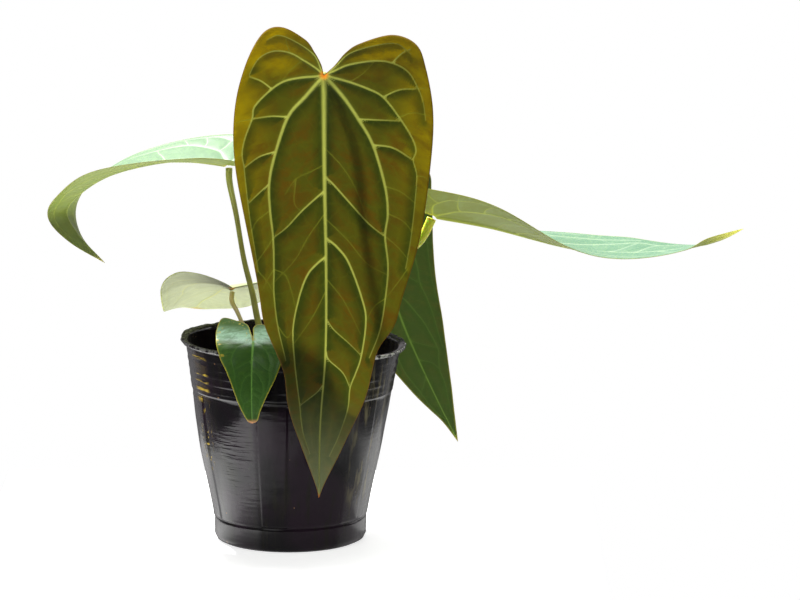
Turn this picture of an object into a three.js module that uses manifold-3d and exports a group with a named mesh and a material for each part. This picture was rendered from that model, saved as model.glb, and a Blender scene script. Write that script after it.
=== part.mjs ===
import * as THREE from 'three';
import { mergeVertices } from 'three/addons/utils/BufferGeometryUtils.js';
import Module from 'manifold-3d';

// A potted anthurium with six heart-shaped leaves in a soft black nursery pot.
// Millimetres, +Z up, origin at the centre of the pot's base, -Y is the front.

// Pot sizes
const potHeight = 108;
const lipRadius = 60;
const baseRadius = 37.5;
const footRadius = 40.6;
const footHeight = 13.2;
const wallThickness = 1;
const wallFootRadius = 40.95;
const wallFootHeight = 14.2;
const stepHeight = 82;
const stepRadius = 52.7;
const stepOut = 0.9;
const collarTopHeight = 105;
const collarTopRadius = 56.5;
const collarRings = 5;
const collarRingPitch = 4.1;
const collarRingRelief = 0.7;
const ribCount = 6;
const ribFirst = -11;
const ribWidth = 20;
const ribRelief = 0.8;
const drainHoles = 6;
const drainRadius = 3.5;
const drainCircle = 24;
// A soft pot sits a little out of true: towards its top it leans to +X and its -X side stands
// higher, and its lip waves in and out
const lean = 2;
const tilt = 0.04;
const lipWaves = 5;
const lipWaveHeight = 0.35;

// Growing medium and crown sizes
const mediumLevel = 90.4;
const mediumGap = 0.5;
const chipHeight = 2.2;
const plantCentre = 1.6;
const crownRadius = 8;
const crownTop = 108;
const crownFoot = 66.4;
const crownSides = 20;
const scarSpacing = 3.2;
const scarDepth = 0.5;
const socketRadius = 8.4;
const socketFloor = 66;

// Leaf sizes that all leaves share
const bladeThickness = 0.8;
const midribRidge = 1.3;
const seatGap = 0.3;
const stalkSides = 10;
const stalkSteps = 16;
const stalkCrowding = 1.7;

// Shares of the way from the midrib to the edge where a blade's mesh has its columns
const wideColumns = [0, 0.035, 0.22, 0.45, 0.7, 1];
const smallColumns = [0, 0.05, 0.35, 0.67, 1];

// A blade's mesh has rows of points from its junction to its tip. crowding over 1 sets them closer
// near the junction, and under 1 near the tip. The rows of a midrib run from behind the junction
// with the stalk to the tip. at is the midrib's place and up the way its upper face looks. right
// and left are the halves seen from above with the tip pointing away. Each gives how many degrees
// the half rises where it leaves the midrib, and how many more it bends by its edge. The edges run
// from the junction round the lobe to the tip, as distance across from the midrib and distance
// along it.
const leaves = {
  leaf_front: {
    colour: 0x6f6626,
    rows: 30,
    crowding: 1,
    columns: wideColumns,
    midrib: [
      { at: [18.5, -38, 278.4], up: [0, -0.93, 0.37], right: [6, 6], left: [6, 6] },
      { at: [19.6, -48, 256.1], up: [0, -0.95, 0.31], right: [8, 4], left: [8, 4] },
      { at: [20.8, -62, 213.8], up: [0, -0.97, 0.24], right: [4, -6], left: [4, -6] },
      { at: [21.8, -72, 163.1], up: [0, -0.99, 0.12], right: [3, -8], left: [3, -8] },
      { at: [21.2, -76, 116.6], up: [0, -1, 0], right: [3, -8], left: [3, -8] },
      { at: [17.9, -72, 76.2], up: [0, -1, -0.1], right: [4, -6], left: [4, -6] },
      { at: [16.5, -64, 35.6], up: [0, -0.98, -0.2], right: [6, -4], left: [6, -4] },
    ],
    right: [[0, 0], [1.4, -6], [4.6, -12.6], [9, -19.3], [20.3, -26], [30, -23.8], [38.5, -10.8],
      [45, 8], [47.6, 28], [46.8, 49], [43, 73], [36.2, 110], [33, 129.6], [25.7, 147], [21, 159],
      [17.7, 175], [9.8, 196], [2.5, 216], [0, 225.3]],
    left: [[0, 0], [5.8, -4.7], [11.9, -11], [19.8, -15.2], [36.5, -18], [48.9, -11.6], [53.5, 0],
      [56.1, 22], [54, 48], [48, 84], [38.3, 116], [34.5, 129.5], [26, 143], [22.6, 162.6],
      [19.4, 175], [11, 197.7], [3.2, 216], [0, 225.3]],
    stalk: {
      colour: 0x7c7a3a,
      path: [[2.6, -0.5, 108.5], [3.4, -2, 122], [6, -8, 155], [10, -19, 195], [14.5, -32, 232]],
      radii: [2.6, 2.2, 1.9, 1.9, 2, 2.3],
    },
  },
  leaf_left: {
    colour: 0x9fb98c,
    rows: 38,
    crowding: 0.75,
    columns: wideColumns,
    midrib: [
      { at: [-12, 6, 198], up: [0, 0, 1], right: [17.5, 4], left: [16, 6] },
      { at: [-32.4, 18, 199.5], up: [0, 0, 1], right: [16.5, 5], left: [11, 4] },
      { at: [-64.9, 36.8, 199], up: [-0.1, 0.06, 1], right: [12, 6], left: [3.5, 2] },
      { at: [-96.3, 54.8, 189.2], up: [-0.45, 0.26, 0.85], right: [15, 4], left: [6, 1] },
      { at: [-116.5, 66.7, 176], up: [-0.6, 0.35, 0.7], right: [16, 2], left: [6, 0] },
      { at: [-124.2, 71.2, 165], up: [-0.85, 0.5, 0.1], right: [11, 0], left: [9, -4] },
      { at: [-117, 66.9, 152.8], up: [-0.7, 0.4, -0.5], right: [24, 0], left: [12, -4] },
      { at: [-101.5, 58, 138.8], up: [-0.6, 0.35, -0.65], right: [28, 0], left: [9, 0] },
    ],
    right: [[0, 0], [1.4, -6.2], [5.8, -13.9], [16.2, -20], [28.1, -16.9], [34.2, -4.6], [36, 10.8],
      [35.3, 27.7], [32, 52.4], [26.6, 77], [20.2, 98.6], [13, 121.7], [6.8, 138.6], [2.2, 149.4],
      [0, 154]],
    left: [[0, 0], [1.4, -6.2], [5.6, -13.9], [15.8, -20], [27.3, -16.9], [33.3, -4.6], [35, 10.8],
      [34.3, 27.7], [31.2, 52.4], [25.9, 77], [19.6, 98.6], [12.6, 121.7], [6.7, 138.6],
      [2.1, 149.4], [0, 154]],
    stalk: {
      colour: 0x7f7c3e,
      path: [[-6.6, 2.2, 102], [-10.2, 3, 103], [-15.5, 4.2, 112], [-20.1, 7, 132.3],
        [-24.4, 9.5, 149.2], [-28.6, 12.5, 173.6]],
      radii: [1.8, 1.7, 1.5, 1.4, 1.5, 1.8],
    },
  },
  leaf_right: {
    colour: 0xa3b184,
    rows: 28,
    crowding: 1,
    columns: wideColumns,
    midrib: [
      { at: [56.2, 0.3, 181], up: [0.1, 0, 1], right: [27, 4], left: [-3, 2] },
      { at: [76.2, -4.7, 175.8], up: [0.1, 0, 1], right: [27, 4], left: [-5, 2] },
      { at: [111.3, -12, 169.8], up: [0.15, 0, 1], right: [23.5, 4], left: [-8.5, 2] },
      { at: [151.2, -20, 160.6], up: [0.1, 0, 1], right: [9.5, 2], left: [3, 6] },
      { at: [179.9, -27, 159.7], up: [0, 0, 1], right: [0, 4], left: [5, 8] },
      { at: [210, -33, 163.1], up: [-0.1, 0, 1], right: [4, 2], left: [-6, 4] },
      { at: [224, -36.5, 167.5], up: [-0.2, 0.3, 0.9], right: [6, 0], left: [2, 0] },
      { at: [238.2, -40, 174.1], up: [-0.3, 0.45, 0.8], right: [4, 0], left: [4, 0] },
    ],
    right: [[0, 0], [1.6, -5], [6.6, -12.6], [18.5, -18.5], [32, -15.1], [39, -3.4], [41, 13.4],
      [40.4, 34], [36.9, 61.2], [31.2, 88.4], [24.6, 112.2], [17.2, 134.3], [9, 153],
      [2.9, 164.9], [0, 170]],
    left: [[0, 0], [1.6, -5], [6.2, -12.6], [17.6, -18.5], [30.4, -15.1], [37.1, -3.4], [39, 13.4],
      [38.4, 34], [35.1, 61.2], [29.6, 88.4], [23.4, 112.2], [16.4, 134.3], [8.6, 153],
      [2.7, 164.9], [0, 170]],
    stalk: {
      colour: 0xb4bf3c,
      path: [[9.9, -1.5, 103], [14, -2.2, 104], [25, -4, 117], [42, -5, 138], [58, -5, 152.5],
        [68.5, -5, 160.8]],
      approach: [-0.42, 0, -0.91],
      radii: [2.6, 2.4, 2.2, 2.2, 2.2, 2.5],
    },
  },
  leaf_back: {
    colour: 0x3d6a33,
    rows: 28,
    crowding: 1,
    columns: wideColumns,
    midrib: [
      { at: [37.2, 60, 186.9], up: [0.1, -0.9, 0.4], right: [0, 0], left: [-10, -10] },
      { at: [40.4, 60, 175.9], up: [0.1, -0.9, 0.35], right: [0, 0], left: [-10, -10] },
      { at: [50.2, 57, 142.2], up: [0.1, -0.93, 0.25], right: [0, 0], left: [-8, -10] },
      { at: [60, 54, 109.5], up: [0.1, -0.95, 0.2], right: [0, 0], left: [-6, -10] },
      { at: [73.7, 51, 77.3], up: [0.1, -1, 0.1], right: [0, 0], left: [-4, -6] },
      { at: [90.7, 48, 41.7], up: [0.1, -1, 0.1], right: [0, 0], left: [0, 0] },
    ],
    right: [[0, 0], [3, -5], [10, -12], [22, -16], [33, -12], [38, -1], [37, 9], [33.5, 22],
      [29, 40], [24.5, 58], [20, 77], [14.5, 97], [9.8, 112], [6.2, 121.6], [2.7, 131], [0, 144.2]],
    left: [[0, 0], [3, -5], [10, -12], [22, -16], [34, -12], [40.5, -1], [38, 9], [34, 22],
      [29.3, 37], [26, 51], [22, 75], [17.6, 91], [13.6, 104], [10, 115.6], [6.3, 126], [3, 135.5],
      [0, 144.2]],
    stalk: {
      colour: 0x6e7d3a,
      path: [[3.9, 8.5, 100], [5, 12.8, 101], [8, 32, 117], [11, 50, 132], [17, 68, 152]],
      radii: [2.4, 2.2, 2, 1.9, 1.9, 2],
    },
  },
  leaf_pale: {
    colour: 0xdde6c4,
    rows: 22,
    crowding: 1,
    columns: smallColumns,
    midrib: [
      { at: [-28.4, 12, 133.5], up: [0, 0, 1], right: [13, -8], left: [28, -16] },
      { at: [-31.1, 22, 131.8], up: [0, 0, 1], right: [11, -8], left: [25, -18] },
      { at: [-37.4, 44, 128.5], up: [0, 0, 1], right: [5, -10], left: [12, -24] },
      { at: [-43.2, 64, 121.7], up: [0, 0.2, 1], right: [-2, -12], left: [-4, -34] },
      { at: [-50.8, 91, 112.7], up: [0, 0.2, 1], right: [-14, -12], left: [-14, -16] },
      { at: [-55.3, 106, 105], up: [0, 0.2, 1], right: [-14, -10], left: [-6, -12] },
    ],
    right: [[0, 0], [2, -4], [8, -9], [18, -11], [27, -9], [33, -1], [34.5, 9], [33.5, 22],
      [31, 36], [27.5, 50], [22, 64], [14, 77], [6, 87], [0, 91]],
    left: [[0, 0], [2, -4], [8, -9], [18, -11], [26, -8.5], [32, -2], [35, 8], [35, 20], [33, 33],
      [30, 46], [26, 58], [19, 69], [11, 80], [4, 88], [0, 91]],
    stalk: {
      colour: 0xa89c62,
      path: [[-7, 0.8, 95.5], [-10.6, 1.2, 96.4], [-18.5, 4, 105], [-24.8, 8.2, 114],
        [-28.4, 14, 120.2]],
      radii: [1.4, 1.3, 1.1, 1.1, 1.2, 1.3],
    },
  },
  leaf_small: {
    colour: 0x2f6330,
    rows: 22,
    crowding: 1,
    columns: smallColumns,
    midrib: [
      { at: [-19.8, -38, 124.3], up: [0, -0.2, 1], right: [0, 0], left: [0, 0] },
      { at: [-17.7, -56, 117.7], up: [0, -0.5, 0.8], right: [6, -6], left: [6, -6] },
      { at: [-17.7, -63.5, 108.9], up: [0, -0.9, 0.5], right: [6, -6], left: [6, -6] },
      { at: [-18, -66, 96.2], up: [0, -1, 0.1], right: [6, -6], left: [6, -6] },
      { at: [-18.1, -66, 85.6], up: [0, -1, 0], right: [6, -6], left: [6, -6] },
      { at: [-18.1, -65, 75.8], up: [0, -1, -0.1], right: [6, -6], left: [6, -6] },
    ],
    right: [[0, 0], [0.6, -7], [1.5, -16], [6, -20.5], [14, -24.5], [18, -13], [19.3, -3], [19, 5],
      [16.9, 11.7], [13.7, 18], [10.7, 25], [7.8, 33], [5.2, 39], [2.5, 44], [0, 45.5]],
    left: [[0, 0], [0.6, -7], [1.3, -13], [4, -16], [9, -14], [14.5, -9], [17, -1], [16.5, 8],
      [14.6, 14.7], [13, 19], [11, 24], [7.4, 31.5], [4.4, 38.8], [2.8, 44], [0, 45.5]],
    stalk: {
      colour: 0x73803c,
      path: [[-1.7, -7.8, 97], [-3.3, -11.5, 98], [-9, -26, 105], [-14.5, -40, 108.5]],
      radii: [1.7, 1.5, 1.3, 1.2, 1.2, 1.3],
    },
  },
};

// Smooth value through evenly spaced rows of numbers, with t from 0 to 1
function spline(rows, t) {
  const place = Math.min(Math.max(t, 0), 1) * (rows.length - 1);
  const i = Math.min(Math.floor(place), rows.length - 2);
  const f = place - i;
  return rows[i].map((b, k) => {
    const c = rows[i + 1][k];
    const a = i > 0 ? rows[i - 1][k] : 2 * b - c;
    const d = i + 2 < rows.length ? rows[i + 2][k] : 2 * c - b;
    return b + 0.5 * f * (c - a + f * (2 * a - 5 * b + 4 * c - d + f * (3 * (b - c) + d - a)));
  });
}

// Lengths along a smooth line through the rows, counting only their first numbers
function measure(rows, numbers, steps) {
  const lengths = [0];
  let before = spline(rows, 0);
  for (let i = 1; i <= steps; i++) {
    const here = spline(rows, i / steps);
    const moves = here.slice(0, numbers).map((value, k) => value - before[k]);
    lengths.push(lengths[i - 1] + Math.hypot(...moves));
    before = here;
  }
  return lengths;
}

// How far through the measured line, from 0 to 1, a length along it lies
function shareAt(lengths, length) {
  let i = 1;
  while (i < lengths.length - 1 && lengths[i] < length) {
    i += 1;
  }
  const part = (length - lengths[i - 1]) / (lengths[i] - lengths[i - 1]);
  return (i - 1 + part) / (lengths.length - 1);
}

// Closed solid through rings of points, with a centre point in each end. Rings turn
// anticlockwise as seen from the end that the solid runs towards.
function loft(rings, startCentre, endCentre) {
  const count = rings[0].length;
  const points = [startCentre, ...rings.flat(), endCentre];
  const last = points.length - 1;
  const faces = [];
  for (let k = 0; k < count; k++) {
    const next = (k + 1) % count;
    faces.push(0, 1 + next, 1 + k);
    faces.push(last, last - count + k, last - count + next);
    for (let i = 0; i + 1 < rings.length; i++) {
      const a = 1 + i * count + k;
      const b = 1 + i * count + next;
      faces.push(a, b, b + count);
      faces.push(a, b + count, a + count);
    }
  }
  return solid(points, faces);
}

function solid(points, faces) {
  const geometry = new THREE.BufferGeometry();
  geometry.setAttribute('position', new THREE.Float32BufferAttribute(points.flat(), 3));
  geometry.setIndex(faces);
  return geometry;
}

// A point of the pot or the medium, moved as the soft pot has settled
function settled(radius, degrees, height) {
  const angle = THREE.MathUtils.degToRad(degrees - 90);
  const share = height / potHeight;
  const x = radius * Math.cos(angle);
  const y = radius * Math.sin(angle);
  const rise = -tilt * x * share ** 3 + lipWaveHeight * share ** 6 * Math.sin(lipWaves * angle);
  return [x + lean * share, y, height + rise];
}

// Directions round the pot in degrees from the front towards +X, close together at rib sides
function potDirections() {
  const pitch = 360 / ribCount;
  const places = [
    [0, 0], [1.5, 1], [7, 1], [13, 1], [ribWidth - 1.5, 1],
    [ribWidth, 0], [ribWidth + 8, 0], [ribWidth + 16, 0], [ribWidth + 24, 0], [ribWidth + 32, 0],
  ];
  const directions = [];
  for (let rib = 0; rib < ribCount; rib++) {
    for (const [degrees, onRib] of places) {
      directions.push({ degrees: ribFirst - ribWidth / 2 + rib * pitch + degrees, onRib });
    }
  }
  return directions;
}

// The pot's section as radius, height and share of the rib relief, from under the base out and
// up to the lip, and down inside to the floor
function potSection() {
  const section = [
    [baseRadius, 0, 0],
    [baseRadius + 2.1, 1, 0],
    [footRadius - 0.1, 3.4, 0],
    [footRadius, footHeight - 0.8, 0],
    [footRadius - 0.4, footHeight, 0],
    [wallFootRadius, wallFootHeight, 1],
    [stepRadius, stepHeight - 0.4, 1],
    [stepRadius + stepOut, stepHeight + 0.6, 0],
  ];
  const slope = (collarTopRadius - stepRadius - stepOut) / (collarTopHeight - stepHeight - 0.6);
  for (let ring = 0; ring < collarRings; ring++) {
    const low = stepHeight + 2 + ring * collarRingPitch;
    const radius = stepRadius + stepOut + slope * (low - stepHeight);
    section.push([radius, low, 0]);
    section.push([radius + collarRingRelief, low + 0.7, 0]);
    section.push([radius + collarRingRelief, low + 1.7, 0]);
    section.push([radius + slope * 2.4, low + 2.4, 0]);
  }
  section.push(
    [collarTopRadius, collarTopHeight, 0],
    [collarTopRadius + 0.6, potHeight - 2.3, 0],
    [lipRadius - 0.8, potHeight - 2.1, 0],
    [lipRadius, potHeight - 1.2, 0],
    [lipRadius - 0.4, potHeight - 0.2, 0],
    [lipRadius - 1.6, potHeight, 0],
    [lipRadius - 3, potHeight - 0.4, 0],
    [lipRadius - 4, potHeight - 1.6, 0],
    [collarTopRadius - wallThickness, collarTopHeight, 0],
    [stepRadius + stepOut - wallThickness, stepHeight + 0.8, 0],
    [stepRadius - wallThickness, stepHeight - 0.2, 1],
    [wallFootRadius - wallThickness, wallFootHeight + 0.2, 1],
    [footRadius - wallThickness, footHeight - 1, 0],
    [footRadius - wallThickness - 0.1, 3.8, 0],
    [baseRadius + 0.9, 1.8, 0],
    [baseRadius - 0.1, 1.2, 0],
  );
  return section;
}

function potBody() {
  const directions = potDirections();
  const rings = potSection().map(([radius, height, ribs]) =>
    directions.map(({ degrees, onRib }) =>
      settled(radius + ribs * onRib * ribRelief, degrees, height)));
  return loft(rings, [0, 0, 0], [0, 0, 1.2]);
}

// The medium fills the pot's inside, with a rough top of bark and a socket for the crown
function mediumBody() {
  const directions = potDirections();
  const sides = [
    [baseRadius - 0.6, 1.2 + mediumGap, 0],
    [footRadius - wallThickness - 0.7, 4.2, 0],
    [footRadius - wallThickness - mediumGap, footHeight + 0.8, 0],
    [stepRadius - wallThickness - mediumGap - 0.1, stepHeight - 0.4, 1],
    [stepRadius + stepOut - wallThickness - mediumGap, mediumLevel - 5, 0],
    [stepRadius + stepOut - wallThickness - 0.3, mediumLevel - 0.6, 0],
  ];
  const rings = sides.map(([radius, height, ribs]) =>
    directions.map(({ degrees, onRib }) =>
      settled(radius + ribs * onRib * ribRelief, degrees, height)));
  const topRadii = [50.5, 46, 41, 35.5, 29.5, 23.5, 18, 13, 10.5];
  topRadii.forEach((radius, row) => {
    rings.push(directions.map(({ degrees }, k) => {
      const rough = Math.sin((k % directions.length) * 12.9898 + row * 78.233) * 437.585;
      const share = rough - Math.floor(rough);
      const turned = degrees + (share - 0.5) * 2;
      return settled(radius + (share - 0.5) * 1.6, turned, mediumLevel + chipHeight * share);
    }));
  });
  for (const height of [mediumLevel + 1.2, socketFloor]) {
    rings.push(directions.map(({ degrees }) => {
      const angle = THREE.MathUtils.degToRad(degrees - 90);
      const x = plantCentre + socketRadius * Math.cos(angle);
      return [x, socketRadius * Math.sin(angle), height];
    }));
  }
  return loft(rings, [0, 0, 1.2 + mediumGap], [plantCentre, 0, socketFloor]);
}

// The crown stands in its socket, with leaf scars round it above the medium and a domed top
function crownBody() {
  const levels = [
    [crownRadius - 1, crownFoot],
    [crownRadius, crownFoot + 2],
    [crownRadius, mediumLevel + 1.6],
  ];
  for (let height = mediumLevel + 1.6 + scarSpacing; height < crownTop - 4; height += scarSpacing) {
    levels.push([crownRadius, height - 0.7]);
    levels.push([crownRadius - scarDepth, height]);
    levels.push([crownRadius - 0.05, height + 0.7]);
  }
  levels.push(
    [crownRadius - 0.6, crownTop - 2.4],
    [crownRadius - 2, crownTop - 1],
    [crownRadius - 4.4, crownTop - 0.2],
  );
  const rings = levels.map(([radius, height]) => {
    const ring = [];
    for (let k = 0; k < crownSides; k++) {
      const angle = (2 * Math.PI * k) / crownSides;
      ring.push([plantCentre + radius * Math.cos(angle), radius * Math.sin(angle), height]);
    }
    return ring;
  });
  return loft(rings, [plantCentre, 0, crownFoot], [plantCentre, 0, crownTop]);
}

// Where points of a leaf's flat outline lie once the leaf has its midrib's curve and its folds
function leafSurface(leaf) {
  const rows = leaf.midrib.map(({ at, up, right, left }) => [...at, ...up, ...right, ...left]);
  const stepsPerRow = 80;
  const lengths = measure(rows, 3, stepsPerRow * (rows.length - 1));
  const total = lengths[lengths.length - 1];
  const widest = {
    right: Math.max(...leaf.right.map(([across]) => across)),
    left: Math.max(...leaf.left.map(([across]) => across)),
  };
  return (across, along) => {
    const wanted = lengths[stepsPerRow] + along;
    const reached = Math.min(Math.max(wanted, 0), total);
    const share = shareAt(lengths, reached);
    const row = spline(rows, share);
    const ahead = new THREE.Vector3(...spline(rows, Math.min(share + 0.001, 1)));
    const behind = new THREE.Vector3(...spline(rows, Math.max(share - 0.001, 0)));
    const tangent = ahead.sub(behind).normalize();
    const up = new THREE.Vector3(row[3], row[4], row[5]);
    const side = new THREE.Vector3().crossVectors(tangent, up).normalize();
    const normal = new THREE.Vector3().crossVectors(side, tangent);
    const onRight = across >= 0;
    const [rise, bend] = onRight ? row.slice(6, 8) : row.slice(8, 10);
    const width = onRight ? widest.right : widest.left;
    const half = THREE.MathUtils.degToRad(bend) * Math.abs(across) / (2 * width);
    const chord = Math.abs(half) < 1e-6 ? across : across * Math.sin(half) / half;
    const angle = THREE.MathUtils.degToRad(rise) + half;
    return new THREE.Vector3(row[0], row[1], row[2])
      .addScaledVector(tangent, wanted - reached)
      .addScaledVector(side, chord * Math.cos(angle))
      .addScaledVector(normal, Math.abs(chord) * Math.sin(angle));
  };
}

// Points of one half's edge at shares of its length
function edgePoints(edge, reached) {
  const steps = 1200;
  const lengths = measure(edge, 2, steps);
  return reached.map((share) => spline(edge, shareAt(lengths, share * lengths[steps])));
}

// The middle layer of a blade: one point at the junction, rows of points, one at the tip
function bladeLayer(leaf) {
  const surface = leafSurface(leaf);
  const reached = Array.from({ length: leaf.rows + 1 }, (_, i) => (i / leaf.rows) ** leaf.crowding);
  const right = edgePoints(leaf.right, reached);
  const left = edgePoints(leaf.left, reached);
  const length = right[leaf.rows][1];
  const shares = [...leaf.columns.slice(1).reverse().map((share) => -share), ...leaf.columns];
  const places = [[0, 0]];
  for (let i = 1; i < leaf.rows; i++) {
    const middle = length * reached[i] ** 1.5;
    for (const share of shares) {
      const [across, down] = share < 0 ? left[i] : right[i];
      const reach = Math.abs(share);
      places.push([share * across, (1 - reach) * middle + reach * down]);
    }
  }
  places.push([0, length]);
  const width = shares.length;
  const last = places.length - 1;
  const faces = [];
  for (let k = 0; k + 1 < width; k++) {
    faces.push(0, 2 + k, 1 + k);
    faces.push(last, last - width + k, last - width + k + 1);
    for (let i = 0; i + 2 < leaf.rows; i++) {
      const a = 1 + i * width + k;
      const b = a + width;
      if (2 * k + 1 < width) {
        faces.push(a, a + 1, b, a + 1, b + 1, b);
      } else {
        faces.push(a, b + 1, b, a, a + 1, b + 1);
      }
    }
  }
  const points = places.map(([across, along]) => surface(across, along));
  const normals = places.map(([across, along]) => {
    const step = 0.05;
    const sideways = surface(across + step, along).sub(surface(across - step, along));
    const onwards = surface(across, along + step).sub(surface(across, along - step));
    return sideways.cross(onwards).normalize();
  });
  return { points, normals, places, faces, width, last };
}

// A blade is its middle layer thickened to both sides, with a ridge under the midrib
function bladeBody(leaf) {
  const { points, normals, places, faces, width, last } = bladeLayer(leaf);
  const length = places[last][1];
  const upper = [];
  const lower = [];
  points.forEach((point, i) => {
    const [across, along] = places[i];
    const ridge = across === 0 ? midribRidge * (1 - along / length) ** 0.8 : 0;
    upper.push(point.clone().addScaledVector(normals[i], bladeThickness / 2).toArray());
    lower.push(point.clone().addScaledVector(normals[i], -bladeThickness / 2 - ridge).toArray());
  });
  const total = points.length;
  const closed = [...faces];
  for (let i = 0; i < faces.length; i += 3) {
    closed.push(faces[i] + total, faces[i + 2] + total, faces[i + 1] + total);
  }
  const leftEdge = [];
  const rightEdge = [];
  for (let i = 1; i < last; i += width) {
    leftEdge.push(i);
    rightEdge.push(i + width - 1);
  }
  const rim = [0, ...leftEdge, last, ...rightEdge.reverse()];
  rim.forEach((a, i) => {
    const b = rim[(i + 1) % rim.length];
    closed.push(a, b, a + total, b, b + total, a + total);
  });
  return { body: solid([...upper, ...lower], closed), junction: points[0], normal: normals[0] };
}

// A stalk runs from the crown and ends just below the ridge on the blade's underside. It comes up
// square to the blade unless it has an approach, the way it leads off from the blade.
function stalkBody(stalk, junction, normal) {
  const points = stalk.path.map((point) => new THREE.Vector3(...point));
  const reach = bladeThickness / 2 + midribRidge + seatGap;
  const topRadius = stalk.radii[stalk.radii.length - 1];
  const end = junction.clone().addScaledVector(normal, -reach);
  const away = stalk.approach ? new THREE.Vector3(...stalk.approach) : normal.clone().negate();
  points.push(end.clone().addScaledVector(away, 3.5 * topRadius), end);
  const line = new THREE.CatmullRomCurve3(points);
  const rings = [];
  const across = new THREE.Vector3(1, 0, 0);
  for (let i = 0; i <= stalkSteps; i++) {
    const share = 1 - (1 - i / stalkSteps) ** stalkCrowding;
    const centre = line.getPointAt(share);
    const tangent = line.getTangentAt(share);
    const radius = spline(stalk.radii.map((value) => [value]), share)[0];
    across.addScaledVector(tangent, -across.dot(tangent)).normalize();
    const over = new THREE.Vector3().crossVectors(tangent, across);
    const ring = [];
    for (let k = 0; k < stalkSides; k++) {
      const angle = (2 * Math.PI * k) / stalkSides;
      ring.push(centre.clone()
        .addScaledVector(across, radius * Math.cos(angle))
        .addScaledVector(over, radius * Math.sin(angle)).toArray());
    }
    rings.push(ring);
  }
  return loft(rings, line.getPointAt(0).toArray(), line.getPointAt(1).toArray());
}

const group = new THREE.Group();
group.name = 'potted_anthurium';

function addPiece(name, geometry, colour, roughness) {
  const material = new THREE.MeshStandardMaterial({ color: colour, roughness });
  material.name = name;
  const piece = new THREE.Mesh(geometry, material);
  piece.name = name;
  group.add(piece);
}

const wasm = await Module();
wasm.setup();

function toManifold(geometry) {
  const joined = mergeVertices(geometry);
  return new wasm.Manifold(new wasm.Mesh({
    numProp: 3,
    vertProperties: new Float32Array(joined.attributes.position.array),
    triVerts: new Uint32Array(joined.index.array),
  }));
}

let drained = toManifold(potBody());
for (let hole = 0; hole < drainHoles; hole++) {
  const angle = (2 * Math.PI * (hole + 0.5)) / drainHoles;
  const cutter = new THREE.CylinderGeometry(drainRadius, drainRadius, 6, 16);
  cutter.deleteAttribute('normal');
  cutter.deleteAttribute('uv');
  cutter.rotateX(Math.PI / 2);
  cutter.translate(drainCircle * Math.cos(angle), drainCircle * Math.sin(angle), 0);
  drained = drained.subtract(toManifold(cutter));
}
const potMesh = drained.getMesh();
const potGeometry = new THREE.BufferGeometry();
potGeometry.setAttribute('position', new THREE.BufferAttribute(potMesh.vertProperties, 3));
potGeometry.setIndex(new THREE.BufferAttribute(potMesh.triVerts, 1));
potGeometry.computeVertexNormals();

addPiece('pot', potGeometry, 0x1d1c1e, 0.35);
addPiece('growing_medium', mediumBody(), 0x3b2c21, 0.95);
addPiece('crown', crownBody(), 0x6c6a3c, 0.7);
for (const [name, leaf] of Object.entries(leaves)) {
  const { body, junction, normal } = bladeBody(leaf);
  addPiece(`${name}_blade`, body, leaf.colour, 0.5);
  addPiece(`${name}_petiole`, stalkBody(leaf.stalk, junction, normal), leaf.stalk.colour, 0.5);
}
group.traverse((piece) => piece.geometry?.computeVertexNormals());

export default group;
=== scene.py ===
import math
import bpy
import numpy as np
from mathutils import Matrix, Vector


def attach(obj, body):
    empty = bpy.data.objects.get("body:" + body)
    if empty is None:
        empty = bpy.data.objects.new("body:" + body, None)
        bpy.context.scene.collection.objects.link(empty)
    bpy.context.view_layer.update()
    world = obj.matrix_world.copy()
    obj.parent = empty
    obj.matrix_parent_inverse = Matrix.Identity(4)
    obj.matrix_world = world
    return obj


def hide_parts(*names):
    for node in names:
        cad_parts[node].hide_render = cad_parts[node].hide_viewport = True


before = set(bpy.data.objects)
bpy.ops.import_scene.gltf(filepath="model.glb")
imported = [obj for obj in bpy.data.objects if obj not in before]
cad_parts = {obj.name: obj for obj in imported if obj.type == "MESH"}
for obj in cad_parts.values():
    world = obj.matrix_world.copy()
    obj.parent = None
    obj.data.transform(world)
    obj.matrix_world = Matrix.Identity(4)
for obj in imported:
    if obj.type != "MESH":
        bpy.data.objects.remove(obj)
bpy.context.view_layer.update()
mm = 0.001
number = "NodeSocketFloat"
white = (1.0, 1.0, 1.0, 1.0)
scene = bpy.context.scene


def say(text):
    print("anthurium:", text)


# helpers for node trees
def setInputs(node, inputs):
    # a socket is linked, anything else is set as the value
    for key, value in inputs.items():
        if isinstance(value, bpy.types.NodeSocket):
            node.id_data.links.new(value, node.inputs[key])
        else:
            node.inputs[key].default_value = value


def addNode(tree, kind, inputs=None, output=0, **settings):
    node = tree.nodes.new(kind)
    for key, value in settings.items():
        setattr(node, key, value)
    setInputs(node, inputs or {})
    return node.outputs[output]


def sums(operation, *values):
    tree = next(value.id_data for value in values if isinstance(value, bpy.types.NodeSocket))
    return addNode(tree, "ShaderNodeMath", dict(enumerate(values)), operation=operation)


def times(first, *others):
    for value in others:
        first = sums("MULTIPLY", first, value)
    return first


def plus(a, b):
    return sums("ADD", a, b)


def timesPlus(value, factor, rest):
    return sums("MULTIPLY_ADD", value, factor, rest)


def fade(value, low, high, start=1.0, end=0.0):
    # goes smoothly from start to end as the value goes from low to high
    return addNode(value.id_data, "ShaderNodeMapRange", {
        "Value": value, "From Min": low, "From Max": high, "To Min": start, "To Max": end},
        interpolation_type="SMOOTHSTEP")


def grow(value, low, high, end=1.0, start=0.0):
    return fade(value, low, high, start, end)


def noise(place, scale, detail, roughness=0.5, distortion=0.0, output="Fac"):
    return addNode(place.id_data, "ShaderNodeTexNoise", {
        "Vector": place, "Scale": scale, "Detail": detail, "Roughness": roughness,
        "Distortion": distortion}, output)


def stretched(place, *scale):
    return addNode(place.id_data, "ShaderNodeMapping", {"Vector": place, "Scale": scale})


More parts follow.
